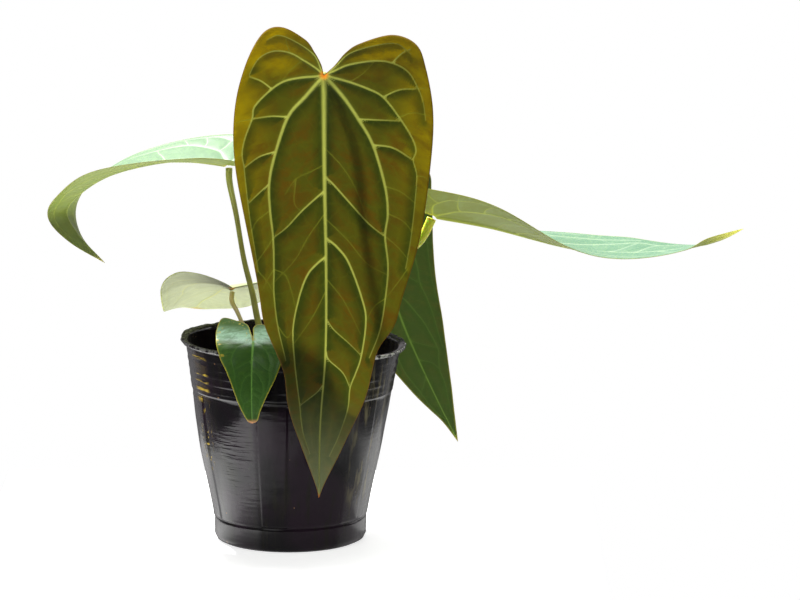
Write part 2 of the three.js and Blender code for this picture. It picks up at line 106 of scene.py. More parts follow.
def vectors(operation, a, b=None):
    inputs = {0: a}
    if b is not None:
        inputs["Scale" if operation == "SCALE" else 1] = b
    output = "Value" if operation == "LENGTH" else 0
    return addNode(a.id_data, "ShaderNodeVectorMath", inputs, output, operation=operation)


def joinXyz(tree, x=0.0, y=0.0, z=0.0):
    return addNode(tree, "ShaderNodeCombineXYZ", {0: x, 1: y, 2: z})


def axisOf(place, axis):
    return addNode(place.id_data, "ShaderNodeSeparateXYZ", {0: place}, axis)


def attributeOf(tree, name, output="Fac"):
    return addNode(tree, "ShaderNodeAttribute", None, output, attribute_name=name)


def tone(code):
    # a colour written as in a paint chart, made linear
    parts = [int(code[i:i + 2], 16) / 255 for i in (0, 2, 4)]
    return (*[p / 12.92 if p <= 0.04045 else ((p + 0.055) / 1.055) ** 2.4 for p in parts], 1.0)


def blend(mask, a, b):
    # from one colour to the other by a mask; a colour is a socket or a code
    a, b = [tone(value) if isinstance(value, str) else value for value in (a, b)]
    return addNode(mask.id_data, "ShaderNodeMix", {0: mask, 6: a, 7: b}, 2,
                   data_type="RGBA", clamp_factor=True)


def bumped(height, strength, distance):
    return addNode(height.id_data, "ShaderNodeBump", {
        "Height": height, "Strength": strength, "Distance": distance})


def newMaterial(name):
    material = bpy.data.materials.new(name)
    material.use_nodes = True
    tree = material.node_tree
    return material, tree, tree.nodes["Principled BSDF"], tree.nodes["Material Output"]


def mixSurface(out, share, first, second):
    mix = addNode(out.id_data, "ShaderNodeMixShader", {0: share, 1: first, 2: second})
    setInputs(out, {"Surface": mix})


# the view, the light and the floor
view = {
    "target": (58.95, 0.0, 129.2),   # point in the middle of the picture, mm
    "distance": 2400.0,
    "elevation": 10.2,
    "lens": 202.6,
    "sensor": 36.0,
}
studio = {
    "backdrop": 1.0,                 # white that the camera sees
    "frontLight": 0.24,              # what the dark room in front gives
    "backLight": 1.0,                # what the white room behind gives
    "roomTurn": (0.3, 0.95),         # how far back the room turns from dark to white
    "floorTone": (0.6, 0.6, 0.59),
    "floorGlow": 0.72,               # keeps the shadows on the white table light
    "floorSize": 0.165,              # half the width of the table top, m
    "leftGlow": 2.4,                 # bright patch of table that the pot's left side mirrors
    "patchLeft": (-0.03, -0.085),    # stretch over which it comes up, going left, m
    "patchFar": (-0.175, -0.125),    # stretch over which it goes again
    "patchFront": (0.035, -0.01),    # stretch over which it comes up, going to the front
}
lamps = {
    "lampBehind": {"at": (-0.913, 1.324, 2.092), "aim": (0.01, -0.07, 0.1), "size": 0.14, "watts": 215},
    "lampAbove": {"at": (0.1, 0.25, 2.3), "aim": (0.05, 0.0, 0.1), "size": 1.1, "watts": 47},
    "lampRight": {"at": (2.0, 0.9, 0.7), "aim": (0.05, 0.0, 0.1), "size": 0.9, "watts": 4},
    "lampFront": {"at": (-1.3, -2.3, 1.5), "aim": (0.05, 0.0, 0.15), "size": 1.4, "watts": 20.5},
}


def addCamera():
    tilt = math.radians(view["elevation"])
    away = Vector((0.0, -math.cos(tilt), math.sin(tilt))) * view["distance"]
    data = bpy.data.cameras.new("camera")
    data.lens = view["lens"]
    data.sensor_width = view["sensor"]
    data.clip_end = 50.0
    camera = bpy.data.objects.new("camera", data)
    camera.location = (Vector(view["target"]) + away) * mm
    camera.rotation_euler = (math.pi / 2 - tilt, 0.0, 0.0)
    scene.collection.objects.link(camera)
    scene.camera = camera


def addRoom():
    world = bpy.data.worlds.new("room")
    world.use_nodes = True
    tree = world.node_tree
    tree.nodes.clear()
    direction = addNode(tree, "ShaderNodeTexCoord", None, "Generated")
    light = fade(axisOf(direction, "Y"), *studio["roomTurn"], studio["frontLight"], studio["backLight"])
    lit = addNode(tree, "ShaderNodeBackground", {"Color": white, "Strength": light})
    seen = addNode(tree, "ShaderNodeBackground", {"Color": white, "Strength": studio["backdrop"]})
    toCamera = addNode(tree, "ShaderNodeLightPath", None, "Is Camera Ray")
    mixSurface(tree.nodes.new("ShaderNodeOutputWorld"), toCamera, lit, seen)
    scene.world = world


def addLamps():
    for name, lamp in lamps.items():
        data = bpy.data.lights.new(name, "AREA")
        data.shape = "DISK"
        data.size = lamp["size"]
        data.energy = lamp["watts"]
        light = bpy.data.objects.new(name, data)
        light.location = lamp["at"]
        aim = Vector(lamp["aim"]) - Vector(lamp["at"])
        light.rotation_euler = aim.to_track_quat("-Z", "Y").to_euler()
        scene.collection.objects.link(light)


def addFloor():
    half, glow = studio["floorSize"], studio["floorGlow"]
    mesh = bpy.data.meshes.new("floor")
    corners = [(-half, -half, 0), (half, -half, 0), (half, half, 0), (-half, half, 0)]
    mesh.from_pydata(corners, [], [(0, 1, 2, 3)])
    floor = bpy.data.objects.new("floor", mesh)
    scene.collection.objects.link(floor)
    material, tree, skin, out = newMaterial("paleFloor")
    # the glow grows towards the left of the pot, where the table is brightest
    place = addNode(tree, "ShaderNodeTexCoord", None, "Object")
    far = fade(axisOf(place, "X"), *studio["patchFar"], glow, glow + studio["leftGlow"])
    left = fade(axisOf(place, "X"), *studio["patchLeft"], glow, far)
    setInputs(skin, {
        "Base Color": (*studio["floorTone"], 1.0), "Roughness": 0.6, "Emission Color": white,
        "Emission Strength": fade(axisOf(place, "Y"), *studio["patchFront"], glow, left)})
    mesh.materials.append(material)


scene.view_settings.view_transform = "Standard"
addCamera()
addRoom()
addLamps()
addFloor()
say("camera, room and floor are in")


# smooth lines and meshes
def splineRows(rows, t):
    rows = np.asarray(rows, float)
    place = np.clip(t, 0.0, 1.0) * (len(rows) - 1)
    i = np.minimum(np.floor(place).astype(int), len(rows) - 2)
    f = (place - i)[..., None]
    ends = np.vstack([2 * rows[0] - rows[1], rows, 2 * rows[-1] - rows[-2]])
    a, b, c, d = ends[i], ends[i + 1], ends[i + 2], ends[i + 3]
    return b + 0.5 * f * (c - a + f * (2 * a - 5 * b + 4 * c - d + f * (3 * (b - c) + d - a)))


def runningLength(points):
    steps = np.linalg.norm(np.diff(points, axis=0), axis=1)
    return np.concatenate([[0.0], np.cumsum(steps)])


def evenLine(rows, shares, fineness=1200):
    ts = np.linspace(0.0, 1.0, fineness + 1)
    lengths = runningLength(splineRows(rows, ts))
    return splineRows(rows, np.interp(np.asarray(shares) * lengths[-1], lengths, ts))


def unit(ways):
    return ways / np.maximum(np.linalg.norm(ways, axis=-1, keepdims=True), 1e-12)


def smoothStep(low, high, values):
    share = np.clip((values - low) / (high - low), 0.0, 1.0)
    return share * share * (3.0 - 2.0 * share)


def addMesh(name, points, faces, material):
    mesh = bpy.data.meshes.new(name)
    mesh.from_pydata((np.asarray(points) * mm).tolist(), [], [list(face) for face in faces])
    mesh.polygons.foreach_set("use_smooth", [True] * len(mesh.polygons))
    if material:
        mesh.materials.append(material)
    mesh.update()
    piece = bpy.data.objects.new(name, mesh)
    scene.collection.objects.link(piece)
    return piece


def addAttribute(piece, name, values):
    # one number or one place for each point of the mesh
    values = np.asarray(values, np.float32)
    kind, field = ("FLOAT_VECTOR", "vector") if values.ndim == 2 else ("FLOAT", "value")
    attribute = piece.data.attributes.new(name, kind, "POINT")
    attribute.data.foreach_set(field, values.ravel())


def tube(rings, ends):
    # points and faces of a row of rings, closed at both ends by fans round the end points
    around, count = len(rings[0]), len(rings) * len(rings[0])
    i, k = np.meshgrid(np.arange(len(rings) - 1), np.arange(around), indexing="ij")
    a, b = i * around + k, i * around + (k + 1) % around
    faces = np.stack([a, b, b + around, a + around], -1).reshape(-1, 4).tolist()
    for k in range(around):
        onwards = (k + 1) % around
        faces.append((count, onwards, k))
        faces.append((count + 1, count - around + k, count - around + onwards))
    return np.vstack(rings + [np.asarray(ends, float)]), faces


# The leaves have the forms of their plain solids: a midrib with the way that its upper face looks,
# how far each half rises and bends in degrees, and a flat outline as distance across and along.
# Stations run from behind the junction, through it, to the tip. All sizes are in mm.
leafShape = {
    "front": {
        "at": [(18.5, -38, 278.4), (19.6, -48, 256.1), (20.8, -62, 213.8), (21.8, -72, 163.1),
            (21.2, -76, 116.6), (17.9, -72, 76.2), (16.5, -64, 35.6)],
        "up": [(0, -0.93, 0.37), (0, -0.95, 0.31), (0, -0.97, 0.24), (0, -0.99, 0.12), (0, -1, 0),
            (0, -1, -0.1), (0, -0.98, -0.2)],
        "rise": [(6, 6, 6, 6), (8, 4, 8, 4), (4, -6, 4, -6), (3, -8, 3, -8), (3, -8, 3, -8), (4, -6, 4, -6),
            (6, -4, 6, -4)],
        "right": [(0, 0), (1.4, -6), (4.6, -12.6), (9, -19.3), (20.3, -26), (30, -23.8), (38.5, -10.8),
            (45, 8), (47.6, 28), (46.8, 49), (43, 73), (36.2, 110), (33, 129.6), (25.7, 147), (21, 159),
            (17.7, 175), (9.8, 196), (2.5, 216), (0, 225.3)],
        "left": [(0, 0), (5.8, -4.7), (11.9, -11), (19.8, -15.2), (36.5, -18), (48.9, -11.6), (53.5, 0),
            (56.1, 22), (54, 48), (48, 84), (38.3, 116), (34.5, 129.5), (26, 143), (22.6, 162.6),
            (19.4, 175), (11, 197.7), (3.2, 216), (0, 225.3)],
        "rows": 300, "halfColumns": 66, "crowding": 1.0,
        "stalk": [(2.6, -0.5, 108.5), (3.4, -2, 122), (6, -8, 155), (10, -19, 195), (14.5, -32, 232)],
        "radii": [2.6, 2.2, 1.9, 1.9, 2, 2.3],
    },
    "left": {
        "at": [(-12, 6, 198), (-32.4, 18, 199.5), (-64.9, 36.8, 199), (-96.3, 54.8, 189.2),
            (-116.5, 66.7, 176), (-124.2, 71.2, 165), (-117, 66.9, 152.8), (-101.5, 58, 138.8)],
        "up": [(0, 0, 1), (0, 0, 1), (-0.1, 0.06, 1), (-0.45, 0.26, 0.85), (-0.6, 0.35, 0.7),
            (-0.85, 0.5, 0.1), (-0.7, 0.4, -0.5), (-0.6, 0.35, -0.65)],
        "rise": [(17.5, 4, 16, 6), (16.5, 5, 11, 4), (12, 6, 3.5, 2), (15, 4, 6, 1), (16, 2, 6, 0),
            (11, 0, 9, -4), (24, 0, 12, -4), (28, 0, 9, 0)],
        "right": [(0, 0), (1.4, -6.2), (5.8, -13.9), (16.2, -20), (28.1, -16.9), (34.2, -4.6), (36, 10.8),
            (35.3, 27.7), (32, 52.4), (26.6, 77), (20.2, 98.6), (13, 121.7), (6.8, 138.6), (2.2, 149.4),
            (0, 154)],
        "left": [(0, 0), (1.4, -6.2), (5.6, -13.9), (15.8, -20), (27.3, -16.9), (33.3, -4.6), (35, 10.8),
            (34.3, 27.7), (31.2, 52.4), (25.9, 77), (19.6, 98.6), (12.6, 121.7), (6.7, 138.6), (2.1, 149.4),
            (0, 154)],
        "rows": 250, "halfColumns": 48, "crowding": 0.85,
        "stalk": [(-6.6, 2.2, 102), (-10.2, 3, 103), (-15.5, 4.2, 112), (-20.1, 7, 132.3),
            (-24.4, 9.5, 149.2), (-28.6, 12.5, 173.6)],
        "radii": [1.8, 1.7, 1.5, 1.4, 1.5, 1.8],
    },
    "right": {
        "at": [(56.2, 0.3, 181), (76.2, -4.7, 175.8), (111.3, -12, 169.8), (151.2, -20, 160.6),
            (179.9, -27, 159.7), (210, -33, 163.1), (224, -36.5, 167.5), (238.2, -40, 174.1)],
        "up": [(0.1, 0, 1), (0.1, 0, 1), (0.15, 0, 1), (0.1, 0, 1), (0, 0, 1), (-0.1, 0, 1),
            (-0.2, 0.3, 0.9), (-0.3, 0.45, 0.8)],
        "rise": [(27, 4, -3, 2), (27, 4, -5, 2), (23.5, 4, -8.5, 2), (9.5, 2, 3, 6), (0, 4, 5, 8),
            (4, 2, -6, 4), (6, 0, 2, 0), (4, 0, 4, 0)],
        "right": [(0, 0), (1.6, -5), (6.6, -12.6), (18.5, -18.5), (32, -15.1), (39, -3.4), (41, 13.4),
            (40.4, 34), (36.9, 61.2), (31.2, 88.4), (24.6, 112.2), (17.2, 134.3), (9, 153), (2.9, 164.9),
            (0, 170)],
        "left": [(0, 0), (1.6, -5), (6.2, -12.6), (17.6, -18.5), (30.4, -15.1), (37.1, -3.4), (39, 13.4),
            (38.4, 34), (35.1, 61.2), (29.6, 88.4), (23.4, 112.2), (16.4, 134.3), (8.6, 153), (2.7, 164.9),
            (0, 170)],
        "rows": 260, "halfColumns": 52, "crowding": 1.0,
        "stalk": [(9.9, -1.5, 103), (14, -2.2, 104), (25, -4, 117), (42, -5, 138), (58, -5, 152.5),
            (68.5, -5, 160.8)],
        "approach": (-0.42, 0, -0.91),
        "radii": [2.6, 2.4, 2.2, 2.2, 2.2, 2.5],
    },
    "back": {
        "at": [(37.2, 60, 186.9), (40.4, 60, 175.9), (50.2, 57, 142.2), (60, 54, 109.5), (73.7, 51, 77.3),
            (90.7, 48, 41.7)],
        "up": [(0.1, -0.9, 0.4), (0.1, -0.9, 0.35), (0.1, -0.93, 0.25), (0.1, -0.95, 0.2), (0.1, -1, 0.1),
            (0.1, -1, 0.1)],
        "rise": [(0, 0, -10, -10), (0, 0, -10, -10), (0, 0, -8, -10), (0, 0, -6, -10), (0, 0, -4, -6),
            (0, 0, 0, 0)],
        "right": [(0, 0), (3, -5), (10, -12), (22, -16), (33, -12), (38, -1), (37, 9), (33.5, 22), (29, 40),
            (24.5, 58), (20, 77), (14.5, 97), (9.8, 112), (6.2, 121.6), (2.7, 131), (0, 144.2)],
        "left": [(0, 0), (3, -5), (10, -12), (22, -16), (34, -12), (40.5, -1), (38, 9), (34, 22),
            (29.3, 37), (26, 51), (22, 75), (17.6, 91), (13.6, 104), (10, 115.6), (6.3, 126), (3, 135.5),
            (0, 144.2)],
        "rows": 220, "halfColumns": 46, "crowding": 1.0,
        "stalk": [(3.9, 8.5, 100), (5, 12.8, 101), (8, 32, 117), (11, 50, 132), (17, 68, 152)],
        "radii": [2.4, 2.2, 2, 1.9, 1.9, 2],
    },
    "pale": {
        "at": [(-28.4, 12, 133.5), (-31.1, 22, 131.8), (-37.4, 44, 128.5), (-43.2, 64, 121.7),
            (-50.8, 91, 112.7), (-55.3, 106, 105)],
        "up": [(0, 0, 1), (0, 0, 1), (0, 0, 1), (0, 0.2, 1), (0, 0.2, 1), (0, 0.2, 1)],
        "rise": [(13, -8, 28, -16), (11, -8, 25, -18), (5, -10, 12, -24), (-2, -12, -4, -34),
            (-14, -12, -14, -16), (-14, -10, -6, -12)],
        "right": [(0, 0), (2, -4), (8, -9), (18, -11), (27, -9), (33, -1), (34.5, 9), (33.5, 22), (31, 36),
            (27.5, 50), (22, 64), (14, 77), (6, 87), (0, 91)],
        "left": [(0, 0), (2, -4), (8, -9), (18, -11), (26, -8.5), (32, -2), (35, 8), (35, 20), (33, 33),
            (30, 46), (26, 58), (19, 69), (11, 80), (4, 88), (0, 91)],
        "rows": 150, "halfColumns": 42, "crowding": 1.0,
        "stalk": [(-7, 0.8, 95.5), (-10.6, 1.2, 96.4), (-18.5, 4, 105), (-24.8, 8.2, 114),
            (-28.4, 14, 120.2)],
        "radii": [1.4, 1.3, 1.1, 1.1, 1.2, 1.3],
    },
    "small": {
        "at": [(-19.8, -38, 124.3), (-17.7, -56, 117.7), (-17.7, -63.5, 108.9), (-18, -66, 96.2),
            (-18.1, -66, 85.6), (-18.1, -65, 75.8)],
        "up": [(0, -0.2, 1), (0, -0.5, 0.8), (0, -0.9, 0.5), (0, -1, 0.1), (0, -1, 0), (0, -1, -0.1)],
        "rise": [(0, 0, 0, 0), (6, -6, 6, -6), (6, -6, 6, -6), (6, -6, 6, -6), (6, -6, 6, -6),
            (6, -6, 6, -6)],
        "right": [(0, 0), (0.6, -7), (1.5, -16), (6, -20.5), (14, -24.5), (18, -13), (19.3, -3), (19, 5),
            (16.9, 11.7), (13.7, 18), (10.7, 25), (7.8, 33), (5.2, 39), (2.5, 44), (0, 45.5)],
        "left": [(0, 0), (0.6, -7), (1.3, -13), (4, -16), (9, -14), (14.5, -9), (17, -1), (16.5, 8),
            (14.6, 14.7), (13, 19), (11, 24), (7.4, 31.5), (4.4, 38.8), (2.8, 44), (0, 45.5)],
        "rows": 110, "halfColumns": 32, "crowding": 1.0,
        "stalk": [(-1.7, -7.8, 97), (-3.3, -11.5, 98), (-9, -26, 105), (-14.5, -40, 108.5)],
        "radii": [1.7, 1.5, 1.3, 1.2, 1.2, 1.3],
    },
}

# Veins in the flat outline of the front leaf: places as distance across and along, then how wide
# the vein is at its start and end. The other leaves carry the same plan, drawn to their own size.
frontVeins = {
    "midrib": ([(0, -1), (0.5, 24), (0.9, 47), (1.1, 70), (1, 96), (0.8, 133), (0.5, 170),
        (0, 224)], 2.7, 0.5),
    "innerRight": ([(0.6, 1), (10, 11.5), (19.2, 22), (26.2, 41), (29.6, 56), (29.5, 70), (28.2, 84.5),
        (27.9, 101), (27.9, 114), (25.8, 131), (21, 150)], 1.9, 0.45),
    "innerLeft": ([(-0.6, 1), (-9.6, 12), (-16.6, 23), (-24.4, 37.6), (-30.1, 59), (-31.2, 73),
        (-29.6, 84.5), (-31, 100), (-29.6, 116), (-27, 132), (-22, 146)], 1.9, 0.45),
    "outerRight": ([(0.5, 0), (4.2, 0.8), (12, 1.4), (20.4, 3.2), (27.3, 7.4), (36.2, 16.2), (37.8, 22.9),
        (41.6, 32.5), (43.3, 40.7), (42.4, 48), (40.8, 67), (39, 82), (36, 102)], 1.3, 0.35),
    "outerLeft": ([(-0.5, 0), (-3.6, 1.3), (-13, 4.5), (-22.8, 8.7), (-30.4, 13.3), (-38.3, 23.8),
        (-44.7, 34.6), (-46.5, 41.2), (-45, 46), (-46.6, 54), (-45.3, 68), (-43, 85),
        (-40, 101)], 1.3, 0.35),
    "lobeRight": ([(0.3, 0), (4, -3.6), (10.7, -8.1), (17.3, -11.9), (25.1, -12.9), (32, -10.1), (36, -5.7),
        (39, 0)], 1.05, 0.4),
    "lobeLeft": ([(-0.3, 0), (-5, -1.6), (-13.3, -4.4), (-27, -5.3), (-35.9, -3.6), (-43.6, 0.9),
        (-47.9, 7.8), (-51, 16.4), (-52, 26)], 1.15, 0.4),
    "rimRight": ([(0.3, -0.5), (1.6, -3.4), (4.8, -10.8), (12.9, -17.4), (22.5, -21.6),
        (29, -19)], 0.85, 0.3),
    "rimLeft": ([(-0.3, -0.5), (-5.9, -3.9), (-13.5, -10.1), (-26.3, -13), (-38.4, -13),
        (-46, -7)], 0.85, 0.3),
    "midRight": ([(1, 60.5), (6, 64.5), (13.6, 71.2), (21, 79), (28.2, 84.5)], 1.0, 0.5),
    "midLeft": ([(0.9, 53), (-4, 58), (-11.3, 66.6), (-20.9, 77.6), (-29.5, 84.7)], 1.0, 0.55),
    "arcRight": ([(1, 94.5), (6, 98.5), (10.9, 104.5), (15, 116), (17.9, 133), (16, 152.6), (11.9, 173),
        (9.2, 188), (5.2, 200)], 1.1, 0.4),
    "arcLeft": ([(0.9, 85), (-5, 90), (-10.8, 98), (-17.5, 116), (-19.7, 127.4), (-17.9, 145), (-15.6, 154),
        (-13.4, 162), (-13.2, 174), (-9.6, 189), (-5, 201)], 1.1, 0.4),
    "lowLeft": ([(0.6, 127), (-3.3, 132.4), (-11.2, 139), (-17.8, 145)], 0.45, 0.35),
    "tipLeft": ([(0.4, 144), (-1.3, 148.2), (-9, 154.4), (-13.4, 162)], 0.6, 0.45),
    "tipRight": ([(0.4, 161), (3, 165.5), (6.8, 169.4), (11.7, 174)], 0.45, 0.35),
    "crossRightHigh": ([(19.2, 22), (28, 21.6), (37.8, 22.9)], 0.8, 0.7),
    "crossRight": ([(26.8, 40), (34.6, 42.4), (42.4, 47.8)], 0.75, 0.6),
    "crossRightLow": ([(29.7, 56.4), (35.5, 61.4), (40.8, 66.4)], 0.65, 0.5),
    "crossRightLobe": ([(27.3, 7.4), (32.9, 3.3), (38.6, 1.2)], 0.7, 0.8),
    "crossLeftHigh": ([(-17.1, 24), (-27.4, 24.9), (-38.2, 25.8)], 0.75, 0.65),
    "crossLeft": ([(-24.4, 37.6), (-34.7, 39.4), (-44.9, 45.8)], 0.85, 0.75),
    "crossLeftLobe": ([(-30.4, 13.3), (-38.9, 10.2), (-47.8, 10.2)], 0.75, 0.6),
    "crossLeftTop": ([(-35.9, -3.6), (-40.8, -7.6), (-45.7, -9.5)], 0.7, 0.6),
}
# Fine veins that join these, all narrow
frontLinks = {
    "wide": 0.55,
    "lines": [
        [(28.2, 84.5), (33, 92), (38.2, 99)], [(17.3, -11.9), (19, -18), (18.5, -22)],
        [(29.5, 70), (36, 75), (40, 82)], [(27.9, 101), (31, 106), (34, 112)],
        [(1, 47), (8, 50.5), (15.7, 54), (21.6, 62)], [(10.7, -8.1), (17, -3), (22, 3)],
        [(15.7, 54), (17, 66), (13.6, 71)], [(1.1, 72), (10, 84), (17, 96), (28, 108)],
        [(27.9, 101), (22, 104), (19, 112), (17, 120)], [(37.8, 22.9), (44, 24), (47, 25)],
        [(43.3, 40.7), (46.5, 43)], [(25.8, 131), (21, 137), (17.9, 133)], [(1, 112), (8, 126), (17, 140)],
        [(36, 102), (31, 108), (27.9, 114)], [(-31.2, 73), (-39, 77), (-44, 83)],
        [(-47.8, 10.2), (-52, 10), (-54.5, 11)], [(-30.1, 59), (-38, 62), (-45.5, 68)],
        [(-29.6, 84.5), (-36, 90), (-42, 97)], [(0.9, 38), (-8, 48), (-15, 60), (-20.9, 77.6)],
        [(-38.3, 23.8), (-46, 22), (-54, 24)], [(-46.6, 54), (-51, 55), (-53, 58)],
        [(0.9, 75), (-10, 86), (-20, 98), (-30.5, 104)], [(0.8, 106), (-8, 117), (-17, 134)],
        [(-29.6, 116), (-24, 120), (-19.7, 127.4)], [(-13, 4.5), (-20, 1), (-27, -5.3)],
        [(-41, 101), (-36, 108), (-29.6, 116)],
    ],
}
leafBuild = {
    "thickness": 0.44,       # of a blade between its veins
    "edgeThinning": 0.6,     # share of that which is lost towards the edge
    "solidReach": 2.0,       # how far below a blade's middle layer its plain stalk ends
    "stalkRings": 90,
    "stalkSides": 24,
    "stationSteps": 80,      # finer steps between two stations of a midrib
    "veinReach": 12.0,       # distance from a vein within which its marks are worked out
    "slopeStep": 0.05,       # half the step over which a surface's slope is taken
    "farWay": 9.0,           # ways and gaps that stand for no vein near
    "farGap": 40.0,
}


def leafSurface(shape):
    rows = np.hstack([np.asarray(shape[key], float) for key in ("at", "up", "rise")])
    steps = leafBuild["stationSteps"]
    ts = np.linspace(0.0, 1.0, steps * (len(rows) - 1) + 1)
    lengths = runningLength(splineRows(rows[:, :3], ts))
    widest = [max(point[0] for point in shape[half]) for half in ("right", "left")]

    def surface(across, along):
        wanted = lengths[steps] + along
        reached = np.clip(wanted, 0.0, lengths[-1])
        t = np.interp(reached, lengths, ts)
        row = splineRows(rows, t)
        ahead = splineRows(rows[:, :3], np.clip(t + 0.001, 0, 1))
        behind = splineRows(rows[:, :3], np.clip(t - 0.001, 0, 1))
        tangent = unit(ahead - behind)
        side = unit(np.cross(tangent, row[..., 3:6]))
        normal = np.cross(side, tangent)
        onRight = across >= 0
        width = np.where(onRight, widest[0], widest[1])
        rise = np.radians(np.where(onRight, row[..., 6], row[..., 8]))
        bend = np.radians(np.where(onRight, row[..., 7], row[..., 9]))
        half = bend * np.abs(across) / (2 * width)
        chord = across * np.sinc(half / math.pi)
        place = row[..., :3] + tangent * (wanted - reached)[..., None]
        place = place + side * (chord * np.cos(rise + half))[..., None]
        return place + normal * (np.abs(chord) * np.sin(rise + half))[..., None]

    return surface


def surfaceNormals(surface, across, along):
    step = leafBuild["slopeStep"]
    sideways = surface(across + step, along) - surface(across - step, along)
    onwards = surface(across, along + step) - surface(across, along - step)
    return unit(np.cross(sideways, onwards))


def leafGrid(shape):
    rows, half = shape["rows"], shape["halfColumns"]
    reached = (np.arange(rows + 1) / rows) ** shape["crowding"]
    edges = {side: evenLine(shape[side], reached) for side in ("right", "left")}
    length = shape["right"][-1][1]
    middle = length * reached ** 1.5
    shares = np.linspace(-1.0, 1.0, 2 * half + 1)
    shares = np.sign(shares) * np.abs(shares) ** 1.12      # closer together beside the midrib
    onRight = (shares >= 0)[None, :]
    reach = np.abs(shares)[None, :]
    edgeAcross = np.where(onRight, edges["right"][:, :1], -edges["left"][:, :1])
    edgeAlong = np.where(onRight, edges["right"][:, 1:], edges["left"][:, 1:])
    across = (reach * edgeAcross)[1:-1]
    along = ((1 - reach) * middle[:, None] + reach * edgeAlong)[1:-1]
    return across, along, length


def outlineWidth(shape, along, side):
    edge = evenLine(shape[side], np.linspace(0.0, 1.0, 400))
    widest = int(np.argmax(edge[:, 0]))
    return np.interp(along, edge[widest:, 1], edge[widest:, 0])


def borrowPlace(place, shape):
    # a place on the front leaf, carried to the same part of another leaf
    model = leafShape["front"]
    across, along = place
    side = "right" if across >= 0 else "left"
    if along >= 0:
        down = along * shape["right"][-1][1] / model["right"][-1][1]
    else:
        down = along * min(p[1] for p in shape[side]) / min(p[1] for p in model[side])
    low = max(along, 25.0)
    share = outlineWidth(shape, low * shape["right"][-1][1] / model["right"][-1][1], side)
    return across * share / outlineWidth(model, low, side), down


def leafVeins(shape):
    model = leafShape["front"]
    thin = (max(p[0] for p in shape["left"]) / max(p[0] for p in model["left"])) ** 0.6

    def drawn(lines):
        return [([borrowPlace(place, shape) for place in line] if shape is not model else line,
                 start * thin, end * thin) for line, start, end in lines]

    wide = frontLinks["wide"]
    return drawn(frontVeins.values()), drawn((line, wide, 0.7 * wide) for line in frontLinks["lines"])


def nearestOn(points, flat):
    # way in mm from a line of points to each place, its length, and how far along the line it starts
    nearest, share, way = np.full(len(flat), 99.0), np.zeros(len(flat)), np.full((len(flat), 2), 99.0)
    for i in range(len(points) - 1):
        run = points[i + 1] - points[i]
        off = flat - points[i]
        part = np.clip((off @ run) / max(run @ run, 1e-9), 0.0, 1.0)
        off = off - part[:, None] * run
        distance = np.hypot(off[:, 0], off[:, 1])
        closer = distance < nearest
        nearest = np.where(closer, distance, nearest)
        share = np.where(closer, (i + part) / (len(points) - 1), share)
        way = np.where(closer[:, None], off, way)
    return way, nearest, share


def veinFields(across, along, veins, beside):
    # Per place: the way to the nearest vein as a share of its half width, how strong that vein
    # is, the gap to its side, how far the place lies on its inner side and the ridge it raises.
    # The inner side of a vein is the one towards the midrib and the tip.
    count, reach = across.size, leafBuild["veinReach"]
    flat = np.stack([across, along], -1)
    ways, ratio = np.full((count, 2), leafBuild["farWay"]), np.full(count, leafBuild["farWay"])
    gap = np.full(count, leafBuild["farGap"])
    strong, within, raised = np.zeros(count), np.zeros(count), np.zeros(count)
    for i, (line, start, end) in enumerate(veins):
        points = splineRows(line, np.linspace(0.0, 1.0, 6 * len(line) + 1))
        near = ((flat > points.min(axis=0) - reach) & (flat < points.max(axis=0) + reach)).all(axis=1)
        way, distance, share = nearestOn(points, flat[near])
        half = 0.5 * (start + (end - start) * share ** 0.8)
        shown = np.maximum(half, leafRelief["finest"])
        shows = half / shown * (beside * (1 - 0.45 * share ** 1.5) if i > 0 else 1.0)
        closer = distance / shown < ratio[near]
        strong[near] = np.where(closer, shows, strong[near])
        ways[near] = np.where(closer[:, None], way / shown[:, None], ways[near])
        ratio[near] = np.minimum(ratio[near], distance / shown)
        beyond = np.maximum(distance - half, 0.0)
        inner = np.ones(len(distance))
        if i > 0:
            lean = (way[:, 1] - np.sign(across[near]) * way[:, 0]) / np.maximum(distance, 0.01)
            inner = smoothStep(-0.2, 0.9, lean)
        within[near] = np.where(beyond < gap[near], inner, within[near])
        gap[near] = np.minimum(gap[near], beyond)
        ridge = leafRelief["ridge"] * half * np.exp(-(distance / half) ** 2)
        raised[near] = np.maximum(raised[near], ridge)
    return ways, ratio, strong, gap, within, raised


def outlineDistance(across, along, shape):
    flat = np.stack([across, along], -1)
    edges = [evenLine(shape[side], np.linspace(0.0, 1.0, 260)) * (sign, 1)
             for side, sign in (("right", 1), ("left", -1))]
    return np.minimum(*[nearestOn(edge, flat)[1] for edge in edges])


# Mottle Size, Outer and Spot Reach are in cm over the flat leaf, Net Size in cells per cm, the
# other lengths in mm
leafMask = {
    "Mottle Size": 0.8, "Mottle Low": 0.4, "Mottle High": 0.7, "Band Width": 3.0, "Net Size": 2.0,
    "Rim Width": 0.8, "Outer Low": 2.0, "Outer High": 4.5, "Outer Lean": 0.0, "Tip Reach": 5.0,
    "Tip Light Reach": 1.0, "Spot Reach": 1.6,
}


